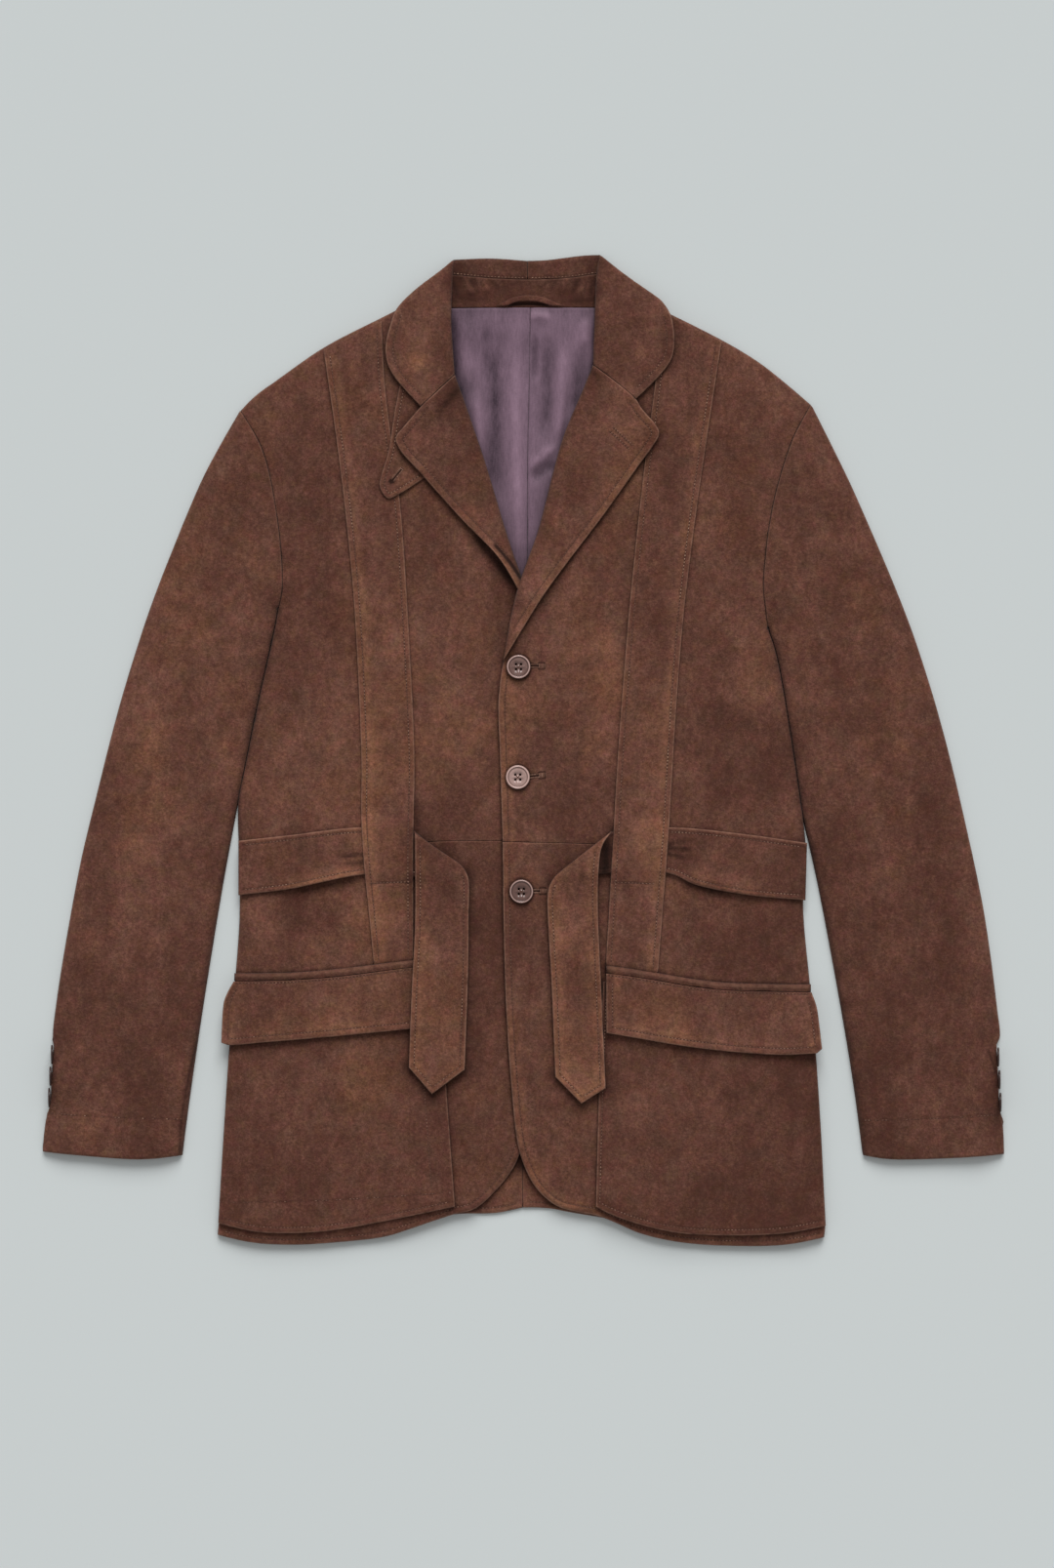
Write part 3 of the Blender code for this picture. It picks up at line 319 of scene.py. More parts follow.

# Broad paler and darker areas of the cloth, rubbed marks, and painted shade and highlights by folds and
# edges: x, y, half widths, amount
SHADES = (
    # sleeves
    (-325, -240, 90, 140, -0.15), (-280, 120, 60, 110, 0.15), (-290, -230, 24, 110, -0.3),
    (325, -240, 90, 150, -0.3), (338, -115, 18, 62, -0.5),
    # collar, with a rubbed mark on each point, painted shade by its roll, at its inner ends and under the
    # left gorge, and lapels
    (-84, 316, 10, 8, 0.9), (97, 323, 9, 7, 0.8), (84, 366, 18, 14, -0.9), (-52, 386, 8, 8, -1.0),
    (56, 394, 8, 8, -1.0), (-64, 305, 9, 40, -0.7), (52, 328, 12, 16, 0.7), (-44, 342, 9, 22, -0.7),
    (84, 214, 22, 40, 0.4), (-40, 198, 14, 40, 0.5), (-54, 290, 14, 14, -0.9),
    # paler and darker blotches on the wrinkled neck facing, partly scuffs and partly painted highlights and
    # shade of its wrinkles
    (-47, 382, 3, 6, 0.9), (-37, 377, 6, 3, 0.8), (-22, 382, 5, 3, 0.7), (24, 380, 6, 2.5, 0.9),
    (36, 383, 5, 3, 0.7), (48, 376, 4, 4, 0.7), (58, 383, 3, 5, 0.6), (-56, 376, 3, 5, 0.6),
    (-60, 378, 5, 8, -1.2), (-42, 370, 6, 4, -1.0), (-30, 372, 5, 4, -0.8), (-14, 377, 5, 4, -0.6),
    (34, 374, 6, 3, -0.9), (44, 369, 6, 4, -1.0), (62, 376, 4, 8, -1.2),
    # chest and shoulders
    (-174, 198, 28, 56, -1.1), (-120, 186, 12, 28, -0.8), (132, 318, 14, 28, -0.5), (116, 206, 14, 56, -0.6),
    (70, 54, 28, 42, 0.7), (-44, 0, 44, 40, 0.4), (-120, 0, 26, 50, 0.5), (-10, 0, 10, 80, 0.3),
    (36, -52, 34, 42, -1.0), (194, -36, 34, 30, -1.0),
    # belt, its tails and the closing below it, with painted shadow beside the left tail
    (-110, -78, 24, 26, 0.35), (97, -80, 24, 26, 0.6), (-66, -106, 26, 42, -0.8), (88, -100, 12, 100, -0.5),
    (44, -176, 18, 80, -0.35), (-13, -152, 16, 60, -0.6), (-42, -152, 22, 26, -0.45), (4, -190, 14, 60, -0.4),
    # pockets and hem
    (-124, -134, 36, 36, 0.7), (-132, -268, 30, 45, 0.9), (-170, -350, 24, 60, -0.6),
    (182, -172, 36, 50, -0.9), (120, -234, 34, 30, 0.6), (107, -306, 32, 50, 0.35), (226, -378, 26, 26, -0.5),
)

STITCH_LENGTH = 1.6
STITCH_PITCH = 2.8
STITCH_RADIUS = 0.45
# The needle holes between stitches, small dark forms of painted shade
PRICK_LENGTH = 1.3
PRICK_RADIUS = 0.5
PRICK_RISE = 0.2
LINE_END = 1.0          # from a line's last stitch to the edge
ROW_BREAK = 3           # steps of the outline, from which a gap parts a row
STITCH_SEED = 5
# Where a piece's stitches begin, if they do not run along the whole edge
UNSEWN = {"belt_right": 90.0}


# Plane geometry

def node_triangles(name):
    """A frame node's points, in millimetres and welded, and its triangles."""
    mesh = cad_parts[name].data
    points = np.empty(len(mesh.vertices) * 3)
    mesh.vertices.foreach_get("co", points)
    mesh.calc_loop_triangles()
    corners = np.empty(len(mesh.loop_triangles) * 3, np.int32)
    mesh.loop_triangles.foreach_get("vertices", corners)
    points, index = np.unique(np.round(points.reshape(-1, 3) / MM, 3), axis=0, return_inverse=True)
    return points, index.reshape(-1)[corners].reshape(-1, 3)


def node_outline(name):
    """The outline of a node seen from above, anticlockwise from its topmost corner."""
    points, faces = node_triangles(name)
    a, b, c = (points[faces[:, i]] for i in range(3))
    normal = np.cross(b - a, c - a)
    upper = faces[normal[:, 2] > UPPER_TILT * np.linalg.norm(normal, axis=1)]
    edges = {tuple(edge) for face in upper.tolist() for edge in zip(face, face[1:] + face[:1])}
    follow = {start: end for start, end in edges if (end, start) not in edges}
    loop = [min(follow)]
    while follow[loop[-1]] != loop[0]:
        loop.append(follow[loop[-1]])
    loop = points[loop][:, :2]
    before = loop - np.roll(loop, 1, axis=0)
    after = np.roll(loop, -1, axis=0) - loop
    turn = np.degrees(np.arctan2(before[:, 0] * after[:, 1] - before[:, 1] * after[:, 0],
                                 (before * after).sum(1)))
    sharp = np.abs(turn) > CORNER_TURN
    first = max(np.nonzero(sharp)[0], key=lambda i: loop[i, 1])
    return np.roll(loop, -first, axis=0), np.roll(sharp, -first)


def smooth_run(knots, step):
    """A curve through the knots with a point about every step."""
    knots = np.asarray(knots, float)
    if len(knots) > 2:
        ends = np.vstack([2 * knots[0] - knots[1], knots, 2 * knots[-1] - knots[-2]])
        share = np.arange(CURVE_PARTS)[:, None] / CURVE_PARTS
        fine = []
        for a, b, c, d in zip(ends, ends[1:], ends[2:], ends[3:]):
            t1 = math.sqrt(math.dist(a, b))
            t2 = t1 + math.sqrt(math.dist(b, c))
            t3 = t2 + math.sqrt(math.dist(c, d))
            t = t1 + share * (t2 - t1)
            ab = a + (b - a) * t / t1
            bc = b + (c - b) * (t - t1) / (t2 - t1)
            cd = c + (d - c) * (t - t2) / (t3 - t2)
            abc = ab + (bc - ab) * t / t2
            bcd = bc + (cd - bc) * (t - t1) / (t3 - t1)
            fine.append(abc + (bcd - abc) * (t - t1) / (t2 - t1))
        knots = np.vstack(fine + [knots[-1:]])
    return even_run(knots, step)


def even_run(path, step):
    """Points spaced evenly along a path, from its first point to its last."""
    length = np.concatenate([[0], np.cumsum(np.linalg.norm(np.diff(path, axis=0), axis=1))])
    places = np.linspace(0, length[-1], max(int(round(length[-1] / step)), 1) + 1)
    return np.column_stack([np.interp(places, length, path[:, i]) for i in range(2)])


def straight_run(start, end, step):
    """Points spaced evenly from a start to an end."""
    return even_run(np.array([start, end], float), step)


def thinned(path, slack=0.04):
    """A path without the points that lie on the line between others."""
    keep = [0, len(path) - 1]
    spans = [(0, len(path) - 1)]
    while spans:
        a, b = spans.pop()
        if b - a < 2:
            continue
        far = distance(path[a + 1:b], path[[a, b]])
        worst = int(np.argmax(far))
        if far[worst] > slack:
            middle = a + 1 + worst
            keep.append(middle)
            spans += [(a, middle), (middle, b)]
    return path[sorted(keep)]


def stretches_of(name):
    """A node's outline in stretches between its corners and the points that split it."""
    loop, sharp = node_outline(name)
    runs, marks = [], []
    corners = list(np.nonzero(sharp)[0]) + [len(loop)]
    closed = np.vstack([loop, loop[:1]])
    for start, end in zip(corners, corners[1:]):
        marks.append(sum(len(run) for run in runs))
        runs.append(smooth_run(closed[start:end + 1], OUTLINE_STEP)[:-1])
    outline = np.vstack(runs)
    for point in SPLITS.get(name, ()):
        marks.append(int(np.argmin(np.linalg.norm(outline - point, axis=1))))
    marks = sorted(set(marks))
    closed = np.vstack([outline, outline[:1]])
    return [closed[a:b + 1] for a, b in zip(marks, marks[1:] + [len(outline)])]


def distance(points, path):
    """How far points lie from an open path."""
    a, along = path[:-1], np.diff(path, axis=0)
    square = np.maximum((along ** 2).sum(1), 1e-9)
    nearest = np.full(len(points), np.inf)
    x, y = points[:, 0], points[:, 1]
    for (ax, ay), (dx, dy), s in zip(a, along, square):
        gx, gy = x - ax, y - ay
        share = np.clip((gx * dx + gy * dy) / s, 0, 1)
        gx -= share * dx
        gy -= share * dy
        np.minimum(nearest, gx * gx + gy * gy, out=nearest)
    return np.sqrt(nearest)


def inside(points, outline):
    """Which points lie in an outline, by counting the edges to their right."""
    odd = np.zeros(len(points), bool)
    x, y = points[:, 0], points[:, 1]
    for (ax, ay), (bx, by) in zip(outline, np.roll(outline, -1, axis=0)):
        if ay != by:
            odd ^= ((ay > y) != (by > y)) & (ax + (y - ay) / (by - ay) * (bx - ax) > x)
    return odd


def units(vectors):
    """Rows of vectors, each made one long."""
    return vectors / np.linalg.norm(vectors, axis=1, keepdims=True)


def leftward(vectors):
    """A vector, or rows of them, turned to the left."""
    return np.stack([-vectors[..., 1], vectors[..., 0]], axis=-1)


def beside(path, offset):
    """A path moved to its left by the offset."""
    return path + offset * leftward(units(np.gradient(path, axis=0)))


def middles_of(path):
    """The points halfway between a path's points."""
    return (path[1:] + path[:-1]) / 2


def heading(path):
    """The direction from a path's first point to its last."""
    whole = path[-1] - path[0]
    return whole / np.linalg.norm(whole)


# The pile: a height map that each piece is laid on

def blur(field, radius):
    """A soft mean over about the radius, in cells."""
    width = 2 * radius + 1
    for _ in range(2 * BLUR_ROUNDS):
        total = np.cumsum(np.pad(field, ((radius + 1, radius), (0, 0)), mode="edge"), axis=0)
        field = ((total[width:] - total[:-width]) / width).T
    return field


def lowest(field, radius):
    """The least value within a square of cells."""
    for axis in (0, 1):
        field = np.minimum.reduce([np.roll(field, shift, axis=axis) for shift in range(-radius, radius + 1)])
    return field


def blur_within(field, mask, radius):
    """A soft mean that counts only the cells of a mask."""
    share = blur(mask.astype(float), radius)
    return blur(np.where(mask, field, 0), radius) / np.maximum(share, 1e-6)


class Window:
    """The part of the height map around an outline."""

    def __init__(self, outline):
        low = np.floor((outline.min(0) - MAP_LOW) / CELL).astype(int) - MAP_MARGIN
        high = np.ceil((outline.max(0) - MAP_LOW) / CELL).astype(int) + MAP_MARGIN
        self.part = (slice(low[1], high[1]), slice(low[0], high[0]))
        self.low = MAP_LOW + low * CELL
        self.shape = (high[1] - low[1], high[0] - low[0])
        rows, columns = np.mgrid[:self.shape[0], :self.shape[1]]
        self.cells = np.column_stack([columns.ravel(), rows.ravel()]) * CELL + self.low
        self.mask = inside(self.cells, outline).reshape(self.shape)

    def read(self, field, points):
        """The field's value at points, between the cells around them."""
        place = (points - self.low) / CELL
        corner = np.clip(np.floor(place).astype(int), 0, np.array(self.shape)[::-1] - 2)
        u, v = (place - corner).T
        c, r = corner.T
        return ((1 - v) * ((1 - u) * field[r, c] + u * field[r, c + 1])
                + v * ((1 - u) * field[r + 1, c] + u * field[r + 1, c + 1]))


pile = np.zeros(MAP_SHAPE)


def settled(window, soft):
    """The height of a piece's underside: over the pile, bridging its steps softly."""
    under = pile[window.part] + LAYER_GAP
    radius = max(int(round(soft / CELL / 2)), 1)
    height = np.where(window.mask, under, 0)
    for _ in range(SETTLE_ROUNDS):
        height = np.maximum(under, blur_within(height, window.mask, radius))
    height = blur_within(height, window.mask, max(radius // 2, 1))
    return np.where(window.mask, height, blur_within(height, window.mask, WIDE_BLUR))


# Relief

# What each front button is sewn on, and the shade around it
BUTTON_OWNERS = {"front_button_1": "front_right_upper", "front_button_2": "front_right_upper",
                 "front_button_3": "front_right_lower"}
SPOT_SHADE = 0.75
SPOT_REACH = 1.2
SPOT_ROWS = (-1.5, 0.2, 1.0, 2.0, 3.4)  # a piece's own points around a button
SPOT_POINTS = 40


def button_spot(name):
    """The middle and the radius of a button's node, seen from above."""
    points, _ = node_triangles(name)
    return (points.max(0) + points.min(0))[:2] / 2, np.ptp(points[:, 0]) / 2


def circle(radius, count, centre=(0.0, 0.0)):
    """Points of a circle, anticlockwise."""
    angle = np.arange(count) * 2 * math.pi / count
    return np.column_stack([np.cos(angle), np.sin(angle)]) * radius + centre


SLIT_STEP = 0.8
LEAST_BLOCK = 3.0       # a shorter bar has no lines of painted shade around it
BLOCK_HALF = 2.7        # half its width
BLOCK_STEP = 0.7
LIP_SPREAD = (0.8, 0.35)    # the lips' distance from the slit at its two ends, in half widths


def block_lines(slit, bar):
    """The lines of painted shade around the stitched block beyond a buttonhole, and along the slit's lips."""
    start, end, ahead = slit[0], slit[-1], heading(slit)
    side = leftward(ahead) * BLOCK_HALF
    far = end + bar * ahead
    around = np.array([end - side, far - side, far + side, end + side, end - side])
    near, wide = LIP_SPREAD[1] * side, LIP_SPREAD[0] * side
    return [even_run(around, BLOCK_STEP), straight_run(start + wide, end + near, BLOCK_STEP),
            straight_run(start - wide, end - near, BLOCK_STEP)]


def hump(share):
    """A bell that is 1 in the middle."""
    return np.exp(-share ** 2)


def rounded(share):
    """A quarter circle from 0 at the edge to 1."""
    return np.sqrt(1 - (1 - np.clip(share, 0, 1)) ** 2)


CREASE_START = 0.15     # share of a crease at its ends
CREASE_FADE = 3.0       # how fast it grows from there, for each share of its length
CREASE_PAST = 0.1       # share of its length that it reaches beyond them


def crease_relief(points, crease):
    """A soft trough or ridge along a bowed line, fading towards its ends."""
    x0, y0, x1, y1, bow, width, depth = crease
    start, end = np.array([x0, y0]), np.array([x1, y1])
    along = end - start
    length = np.linalg.norm(along)
    along = along / length
    u = (points - start) @ along / length
    v = (points - start) @ leftward(along) - bow * 4 * u * (1 - u)
    fade = np.clip(np.minimum(u, 1 - u) * CREASE_FADE + CREASE_START, 0, 1)
    fade = fade * ((u > -CREASE_PAST) & (u < 1 + CREASE_PAST))
    return depth * fade * fade * (3 - 2 * fade) * hump(v / width)


def shade(points):
    """How much paler or darker the cloth is at points."""
    total = np.zeros(len(points))
    for x, y, half_x, half_y, amount in SHADES:
        total += amount * hump(np.hypot((points[:, 0] - x) / half_x, (points[:, 1] - y) / half_y))
    return total


WAVES = 9               # of a piece's unevenness
WAVE_LENGTHS = (45, 150)
CAST_REACH = 4          # spreads over which an edge's painted shadow darkens what lies under it
RIDGE_WIDTH = 4.0       # of the puff along an edge with no stitches
WIDEST_RIDGE = 6.0
RIDGE_SOFT = 2.6        # times that the puff's reach goes into its strip
MARGIN_FULL = 0.6       # share of the strip that is wholly paler
MARGIN_FADE = 0.7
SOFT_FLOOR = 0.25       # squared distance over which a trough flattens on what is under it
LEAST_TOP = 0.1         # above the table
LEAST_BOTTOM = 0.05

Heights = namedtuple("Heights", "top bottom wear tone shade")


class Shell:
    """One cloth piece: where it lies and the relief of its upper side."""

    def __init__(self, piece):
        self.piece = piece
        stretches = stretches_of(piece.node)
        self.edges = [EDGES[word] for word in piece.edges.split()]
        if len(self.edges) != len(stretches):
            raise ValueError(f"{piece.node}: {len(stretches)} stretches, {len(self.edges)} edges")
        self.stretches = [beside(stretch, -edge.close) for stretch, edge in zip(stretches, self.edges)]
        self.outline = np.vstack([stretch[:-1] for stretch in self.stretches])
        self.paths = [thinned(stretch) for stretch in self.stretches]
        self.loop = np.vstack(self.paths)
        self.lines = [(LINE_KINDS[kind], smooth_run(path, LINE_STEP))
                      for kind, path in LINES.get(piece.node, ())]
        for start, end, bar in BUTTONHOLES.get(piece.node, ()):
            slit = straight_run(start, end, SLIT_STEP)
            self.lines.append((LINE_KINDS["slit"], slit))
            if bar > LEAST_BLOCK:
                self.lines += [(LINE_KINDS["bound"], bound) for bound in block_lines(slit, bar)]
        self.covers = []
        self.spots = [button_spot(name) for name, owner in BUTTON_OWNERS.items() if owner == piece.node]
        self.window = Window(np.vstack([path[:-1] for path in self.paths]))
        self.rest = settled(self.window, piece.soft)
        dice = np.random.default_rng(sum(map(ord, piece.node)))
        angle = dice.uniform(0, 2 * math.pi, WAVES)
        size = 2 * math.pi / dice.uniform(*WAVE_LENGTHS, WAVES)
        self.waves = np.column_stack([np.cos(angle) * size, np.sin(angle) * size,
                                      dice.uniform(0, 2 * math.pi, WAVES)])
        cells = self.window.cells[self.window.mask.ravel()]
        top = self.heights(cells).top
        region = pile[self.window.part]
        region[self.window.mask] = np.maximum(region[self.window.mask], top)
        field = np.full(self.window.shape, top.max())
        field[self.window.mask] = top
        self.least = lowest(field, FLOOR_REACH)

    def cover(self, upper):
        """Notes the edges of a later piece that lie on or beside this one."""
        low, high = self.outline.min(0), self.outline.max(0)
        for stretch, path, edge in zip(upper.stretches, upper.paths, upper.edges):
            far = CAST_REACH * edge.spread
            if edge.cast and (path.max(0) > low - far).all() and (path.min(0) < high + far).all():
                self.covers.append((stretch, path, edge))

    def heights(self, points):
        """The upper and lower height, the wear with its painted highlights and groove shade, the tone with
        its painted crease light, and the painted shade at points of the piece.
        """
        piece = self.piece
        shift, drop, skin, wear = np.zeros((4, len(points)))
        light, swell, full = np.ones((3, len(points)))
        tone = np.full(len(points), piece.tone)
        for path, edge in zip(self.paths, self.edges):
            far = distance(points, path)
            curl = rounded(far / edge.round)
            full = np.minimum(full, curl)
            shift += edge.lift * np.exp(-far / LIFT_RUN)
            drop += edge.drop * (1 - curl)
            if edge.run:
                share = np.clip(far / edge.run, 0, 1)
                swell *= edge.least + (1 - edge.least) * (1 - (1 - share) ** 2)
            width = min(edge.inset or RIDGE_WIDTH, WIDEST_RIDGE)
            skin += edge.ridge * hump((far - width / 2) / (width / RIDGE_SOFT))
            if edge.inset:
                # painted shade in the stitches' groove
                groove = hump((far - edge.inset) / GROOVE_WIDTH)
                skin -= GROOVE_DEPTH * groove
                wear -= GROOVE_DARK * groove
                # a painted highlight on the strip beyond the stitches
                tone += edge.puff * hump((far - edge.inset - PUFF_PLACE) / PUFF_REACH)
            # the pale rim, partly rubbed and partly a painted highlight
            wear += edge.wear * hump((far - WEAR_AND_HIGHLIGHT_PLACE) / WEAR_AND_HIGHLIGHT_REACH)
            tone += edge.margin * (1 - np.clip((far / width - MARGIN_FULL) / MARGIN_FADE, 0, 1))
            # painted shade towards the edge
            light *= 1 - edge.dim * hump(far / DIM_REACH)
        # painted shade in each line's groove, a painted highlight where its dark is below 0
        for line, path in self.lines:
            groove = hump(distance(points, path) / line.width)
            skin -= line.depth * groove
            wear -= line.dark * groove
        phase = points @ self.waves[:, :2].T + self.waves[:, 2]
        shift += piece.wave * np.cos(phase).sum(1) / math.sqrt(WAVES)
        for crease in CREASES.get(piece.node, ()):
            relief = crease_relief(points, crease)
            shift += relief
            # painted shade in a crease's trough, a painted highlight on its ridge
            tone += CREASE_TONE * relief
        for streak in STREAKS.get(piece.node, ()):
            light *= 1 - crease_relief(points, streak)
        for centre, radius in self.spots:
            far = np.linalg.norm(points - centre, axis=1) - radius
            light *= 1 - SPOT_SHADE * hump(np.maximum(far, 0) / SPOT_REACH)
        # the painted shadow of the edges that lie on this piece
        for _, path, edge in self.covers:
            far = CAST_REACH * edge.spread
            near = ((points > path.min(0) - far) & (points < path.max(0) + far)).all(1)
            light[near] *= 1 - edge.cast * np.exp(-distance(points[near], path) / edge.spread)
        half = piece.thick / 2
        lift = piece.loft * swell + shift
        lift = (lift + np.sqrt(lift ** 2 + SOFT_FLOOR)) / 2
        middle = self.window.read(self.rest, points) + lift - drop + half
        top = np.maximum(middle + half * full + skin * full, LEAST_TOP)
        bottom = np.clip(middle - half * full, LEAST_BOTTOM, top)
        return Heights(top, bottom, wear, tone + shade(points), 1 - light)

    def plan(self):
        """Plan points of the shell: the outline, rings inside it, and a grid in the middle."""
        outline = self.outline
        inward = leftward(units(np.roll(outline, -1, axis=0) - outline))
        inward = inward + np.roll(inward, 1, axis=0)
        inward /= np.maximum((inward ** 2).sum(1, keepdims=True) / 2, MITRE_LIMIT)
        sets = [outline]
        last = 0.0
        for ring in RINGS:
            if ring > RING_PITCHES * self.piece.pitch:
                break
            sets.append(self.kept(outline + inward * ring, RING_LEEWAY * ring))
            last = ring
        for stretch, edge in zip(self.stretches, self.edges):
            if edge.inset:
                sets += [self.kept(beside(stretch, edge.inset + row), SEWN_LEEWAY * edge.inset)
                         for row in SEWN_ROWS]
        near = [beside(path, row) for _, path in self.lines for row in LINE_ROWS]
        near += [circle(radius + row, SPOT_POINTS, centre) for centre, radius in self.spots
                 for row in SPOT_ROWS]
        near += [beside(stretch, -row) for stretch, _, _ in self.covers for row in CAST_ROWS]
        sets += [self.kept(points, last) for points in near]
        sets.append(self.grid(self.piece.pitch, last + GRID_LEEWAY * self.piece.pitch))
        return sets

    def kept(self, points, margin):
        """The points inside the outline that lie further from it than the margin."""
        points = points[inside(points, self.loop)]
        return points[distance(points, self.loop) > margin]

    def grid(self, pitch, margin):
        """Points in a triangular pattern inside the outline."""
        low, high = self.outline.min(0), self.outline.max(0)
        rise = pitch * math.sqrt(3) / 2
        rows = np.arange(low[1] + rise / 2, high[1], rise)
        columns = np.arange(low[0], high[0] + pitch, pitch)
        x = columns[None, :] + 0.5 * pitch * (np.arange(len(rows)) % 2)[:, None]
        return self.kept(np.column_stack([x.ravel(), np.repeat(rows, len(columns))]), margin)

    def stitch_rows(self):
        """Where the rows of stitches run, the share of their stitches that shows, and their paleness."""
        rows = []
        first = UNSEWN.get(self.piece.node, -math.inf)
        for stretch, edge in zip(self.stretches, self.edges):
            if edge.inset:
                row = beside(stretch, edge.inset)
                far = distance(row, self.loop)
                row = row[inside(row, self.loop) & (far > STITCH_LEEWAY * edge.inset) & (row[:, 0] > first)]
                rows.append((row, 1.0, edge.pale))
        for line, path in self.lines:
            if line.sewn:
                rows.append((self.kept(path, LINE_END), line.sewn, 0.0))
        return [row for row in rows if len(row[0]) > 1]


# Meshes

def triangulated(points, count):
    """Triangles over plan points, the first count of which are the outline."""
    plan = [Vector(point) for point in points]
    _, _, faces, original, _, _ = delaunay_2d_cdt(plan, [], [list(range(count))], 1, 1e-7)
    place = [ids[0] for ids in original]
    return [tuple(place[v] for v in face) for face in faces]


def linked(name, data):
    """A new object in the scene."""
    thing = bpy.data.objects.new(name, data)
    bpy.context.scene.collection.objects.link(thing)
    return thing


def placed(mesh, material):
    """A new object with a mesh and its material."""
    mesh.materials.append(material)
    return linked(mesh.name, mesh)


def new_mesh(name, points, faces):
    """A smooth mesh from points in millimetres."""
    mesh = bpy.data.meshes.new(name)
    mesh.from_pydata((np.asarray(points) * MM).tolist(), [], faces)
    mesh.shade_smooth()
    return mesh


def set_values(mesh, name, values):
    """A number for each of the mesh's first points, for the materials."""
    column = np.zeros(len(mesh.vertices), np.float32)
    column[:len(values)] = values
    mesh.attributes.new(name, "FLOAT", "POINT").data.foreach_set("value", column)


def shell_object(shell, material):
    """The closed shell of a cloth piece: fine above, coarse below, one rim between them."""
    piece = shell.piece
    sets = shell.plan()
    count = len(sets[0])
    above = np.vstack(sets)
    pitch = max(UNDER_PITCHES * piece.pitch, LEAST_UNDER_PITCH)
    below = np.vstack([shell.outline, shell.grid(pitch, UNDER_MARGIN)])
    upper, under = shell.heights(above), below[count:]
    floor = np.minimum(shell.heights(under).bottom, shell.window.read(shell.least, under) - piece.thick)
    points = np.vstack([np.column_stack([above, upper.top]),
                        np.column_stack([under, np.maximum(floor, LEAST_BOTTOM)])])
    faces = triangulated(above, count)
    shift = len(above) - count
    for a, b, c in triangulated(below, count):
        faces.append(tuple(v if v < count else v + shift for v in (c, b, a)))
    mesh = new_mesh(piece.node + "_cloth", points, faces)
    for name in ("wear", "tone", "shade"):
        set_values(mesh, name, getattr(upper, name))
    return placed(mesh, material)


LEAST_FLAT = 10.2       # a sheet's least side
FLAT_TURN = 1.0         # degrees between the directions that are tried


def flat_size(outline):
    """The sides of the smallest rectangle that the piece can be cut from, in metres."""
    best = None
    for angle in np.radians(np.arange(0, 90, FLAT_TURN)):
        cosine, sine = math.cos(angle), math.sin(angle)
        turned = outline @ np.array([[cosine, -sine], [sine, cosine]])
        sides = np.maximum(np.ptp(turned, axis=0), LEAST_FLAT)
        if best is None or sides.prod() < best.prod():
            best = sides
    return tuple((best * MM).tolist())


# Stitches

SHOULDER = 0.3          # where a stitch of length 1 begins to taper
TIP = 0.5
CROSS_RADIUS = 0.36     # thickness of a buttonhole's stitches
# Along a buttonhole's lips: spacing, length and distance from the slit; then the bar beyond it
LIP_PITCH, LIP_LENGTH, LIP_PLACE = 0.95, 1.5, 1.2
BAR_START, BAR_PITCH, BAR_LENGTH = 0.5, 1.1, 4.2
# The lapel's sewn-up hole: spacing and length of its stitches, and where its two rows and their holes lie
HOLE_PITCH, HOLE_LENGTH, HOLE_ROW, HOLE_PRICKS = 2.4, 2.0, 2.2, 1.9


def stitch_form(sides=6):
    """A unit stitch along x: two rings and two tips."""
    angle = np.arange(sides) * 2 * math.pi / sides
    ring = np.column_stack([np.zeros(sides), np.cos(angle), np.sin(angle)])
    points = np.vstack([ring - (SHOULDER, 0, 0), ring + (SHOULDER, 0, 0), [(-TIP, 0, 0), (TIP, 0, 0)]])
    faces = []
    for i in range(sides):
        j = (i + 1) % sides
        faces += [(i, sides + i, sides + j), (i, sides + j, j)]
        faces += [(2 * sides, i, j), (2 * sides + 1, sides + j, sides + i)]
    return points, np.array(faces)


def stitches_on(shell, middles, along, length, radius, rise):
    """Points of stitches that lie on a shell, in rows of a stitch each."""
    reach = along * length / 2
    start = shell.heights(middles - reach).top
    end = shell.heights(middles + reach).top
    forward = np.column_stack([along * length, end - start])
    side = np.column_stack([leftward(along), np.zeros(len(along))]) * radius
    centre = np.column_stack([middles, (start + end) / 2])
    form, _ = stitch_form()
    return (centre[:, None, :] + form[None, :, :1] * forward[:, None, :]
            + form[None, :, 1:2] * side[:, None, :] + form[None, :, 2:] * np.array([0, 0, rise]))


def seam_stitches(shell, dice):
    """The stitches along a shell's seams, and the needle holes at their ends."""
    threads, tones, pricks = [], [], []
    for row, share, pale in shell.stitch_rows():
        breaks = np.nonzero(np.linalg.norm(np.diff(row, axis=0), axis=1) > ROW_BREAK * OUTLINE_STEP)[0] + 1
        for part in np.split(row, breaks):
            if len(part) < 2:
                continue
            marks = even_run(part, STITCH_PITCH)
            along = units(np.diff(marks, axis=0))
            shown = dice.random(len(along)) < share
            threads.append(stitches_on(shell, middles_of(marks)[shown], along[shown],
                                       STITCH_LENGTH, STITCH_RADIUS, STITCH_RADIUS))
            tones.append(np.maximum(dice.random(shown.sum()) + pale, 0.0))
            pricks.append(stitches_on(shell, marks[1:][shown], along[shown],
                                      PRICK_LENGTH, PRICK_RADIUS, PRICK_RISE))
    return threads, tones, pricks


def crossing_stitches(shell, path, offset, length):
    """Close stitches across a straight path, moved to its left by the offset."""
    across = leftward(heading(path))
    return stitches_on(shell, path + offset * across, np.tile(across, (len(path), 1)), length,
                       CROSS_RADIUS, CROSS_RADIUS)


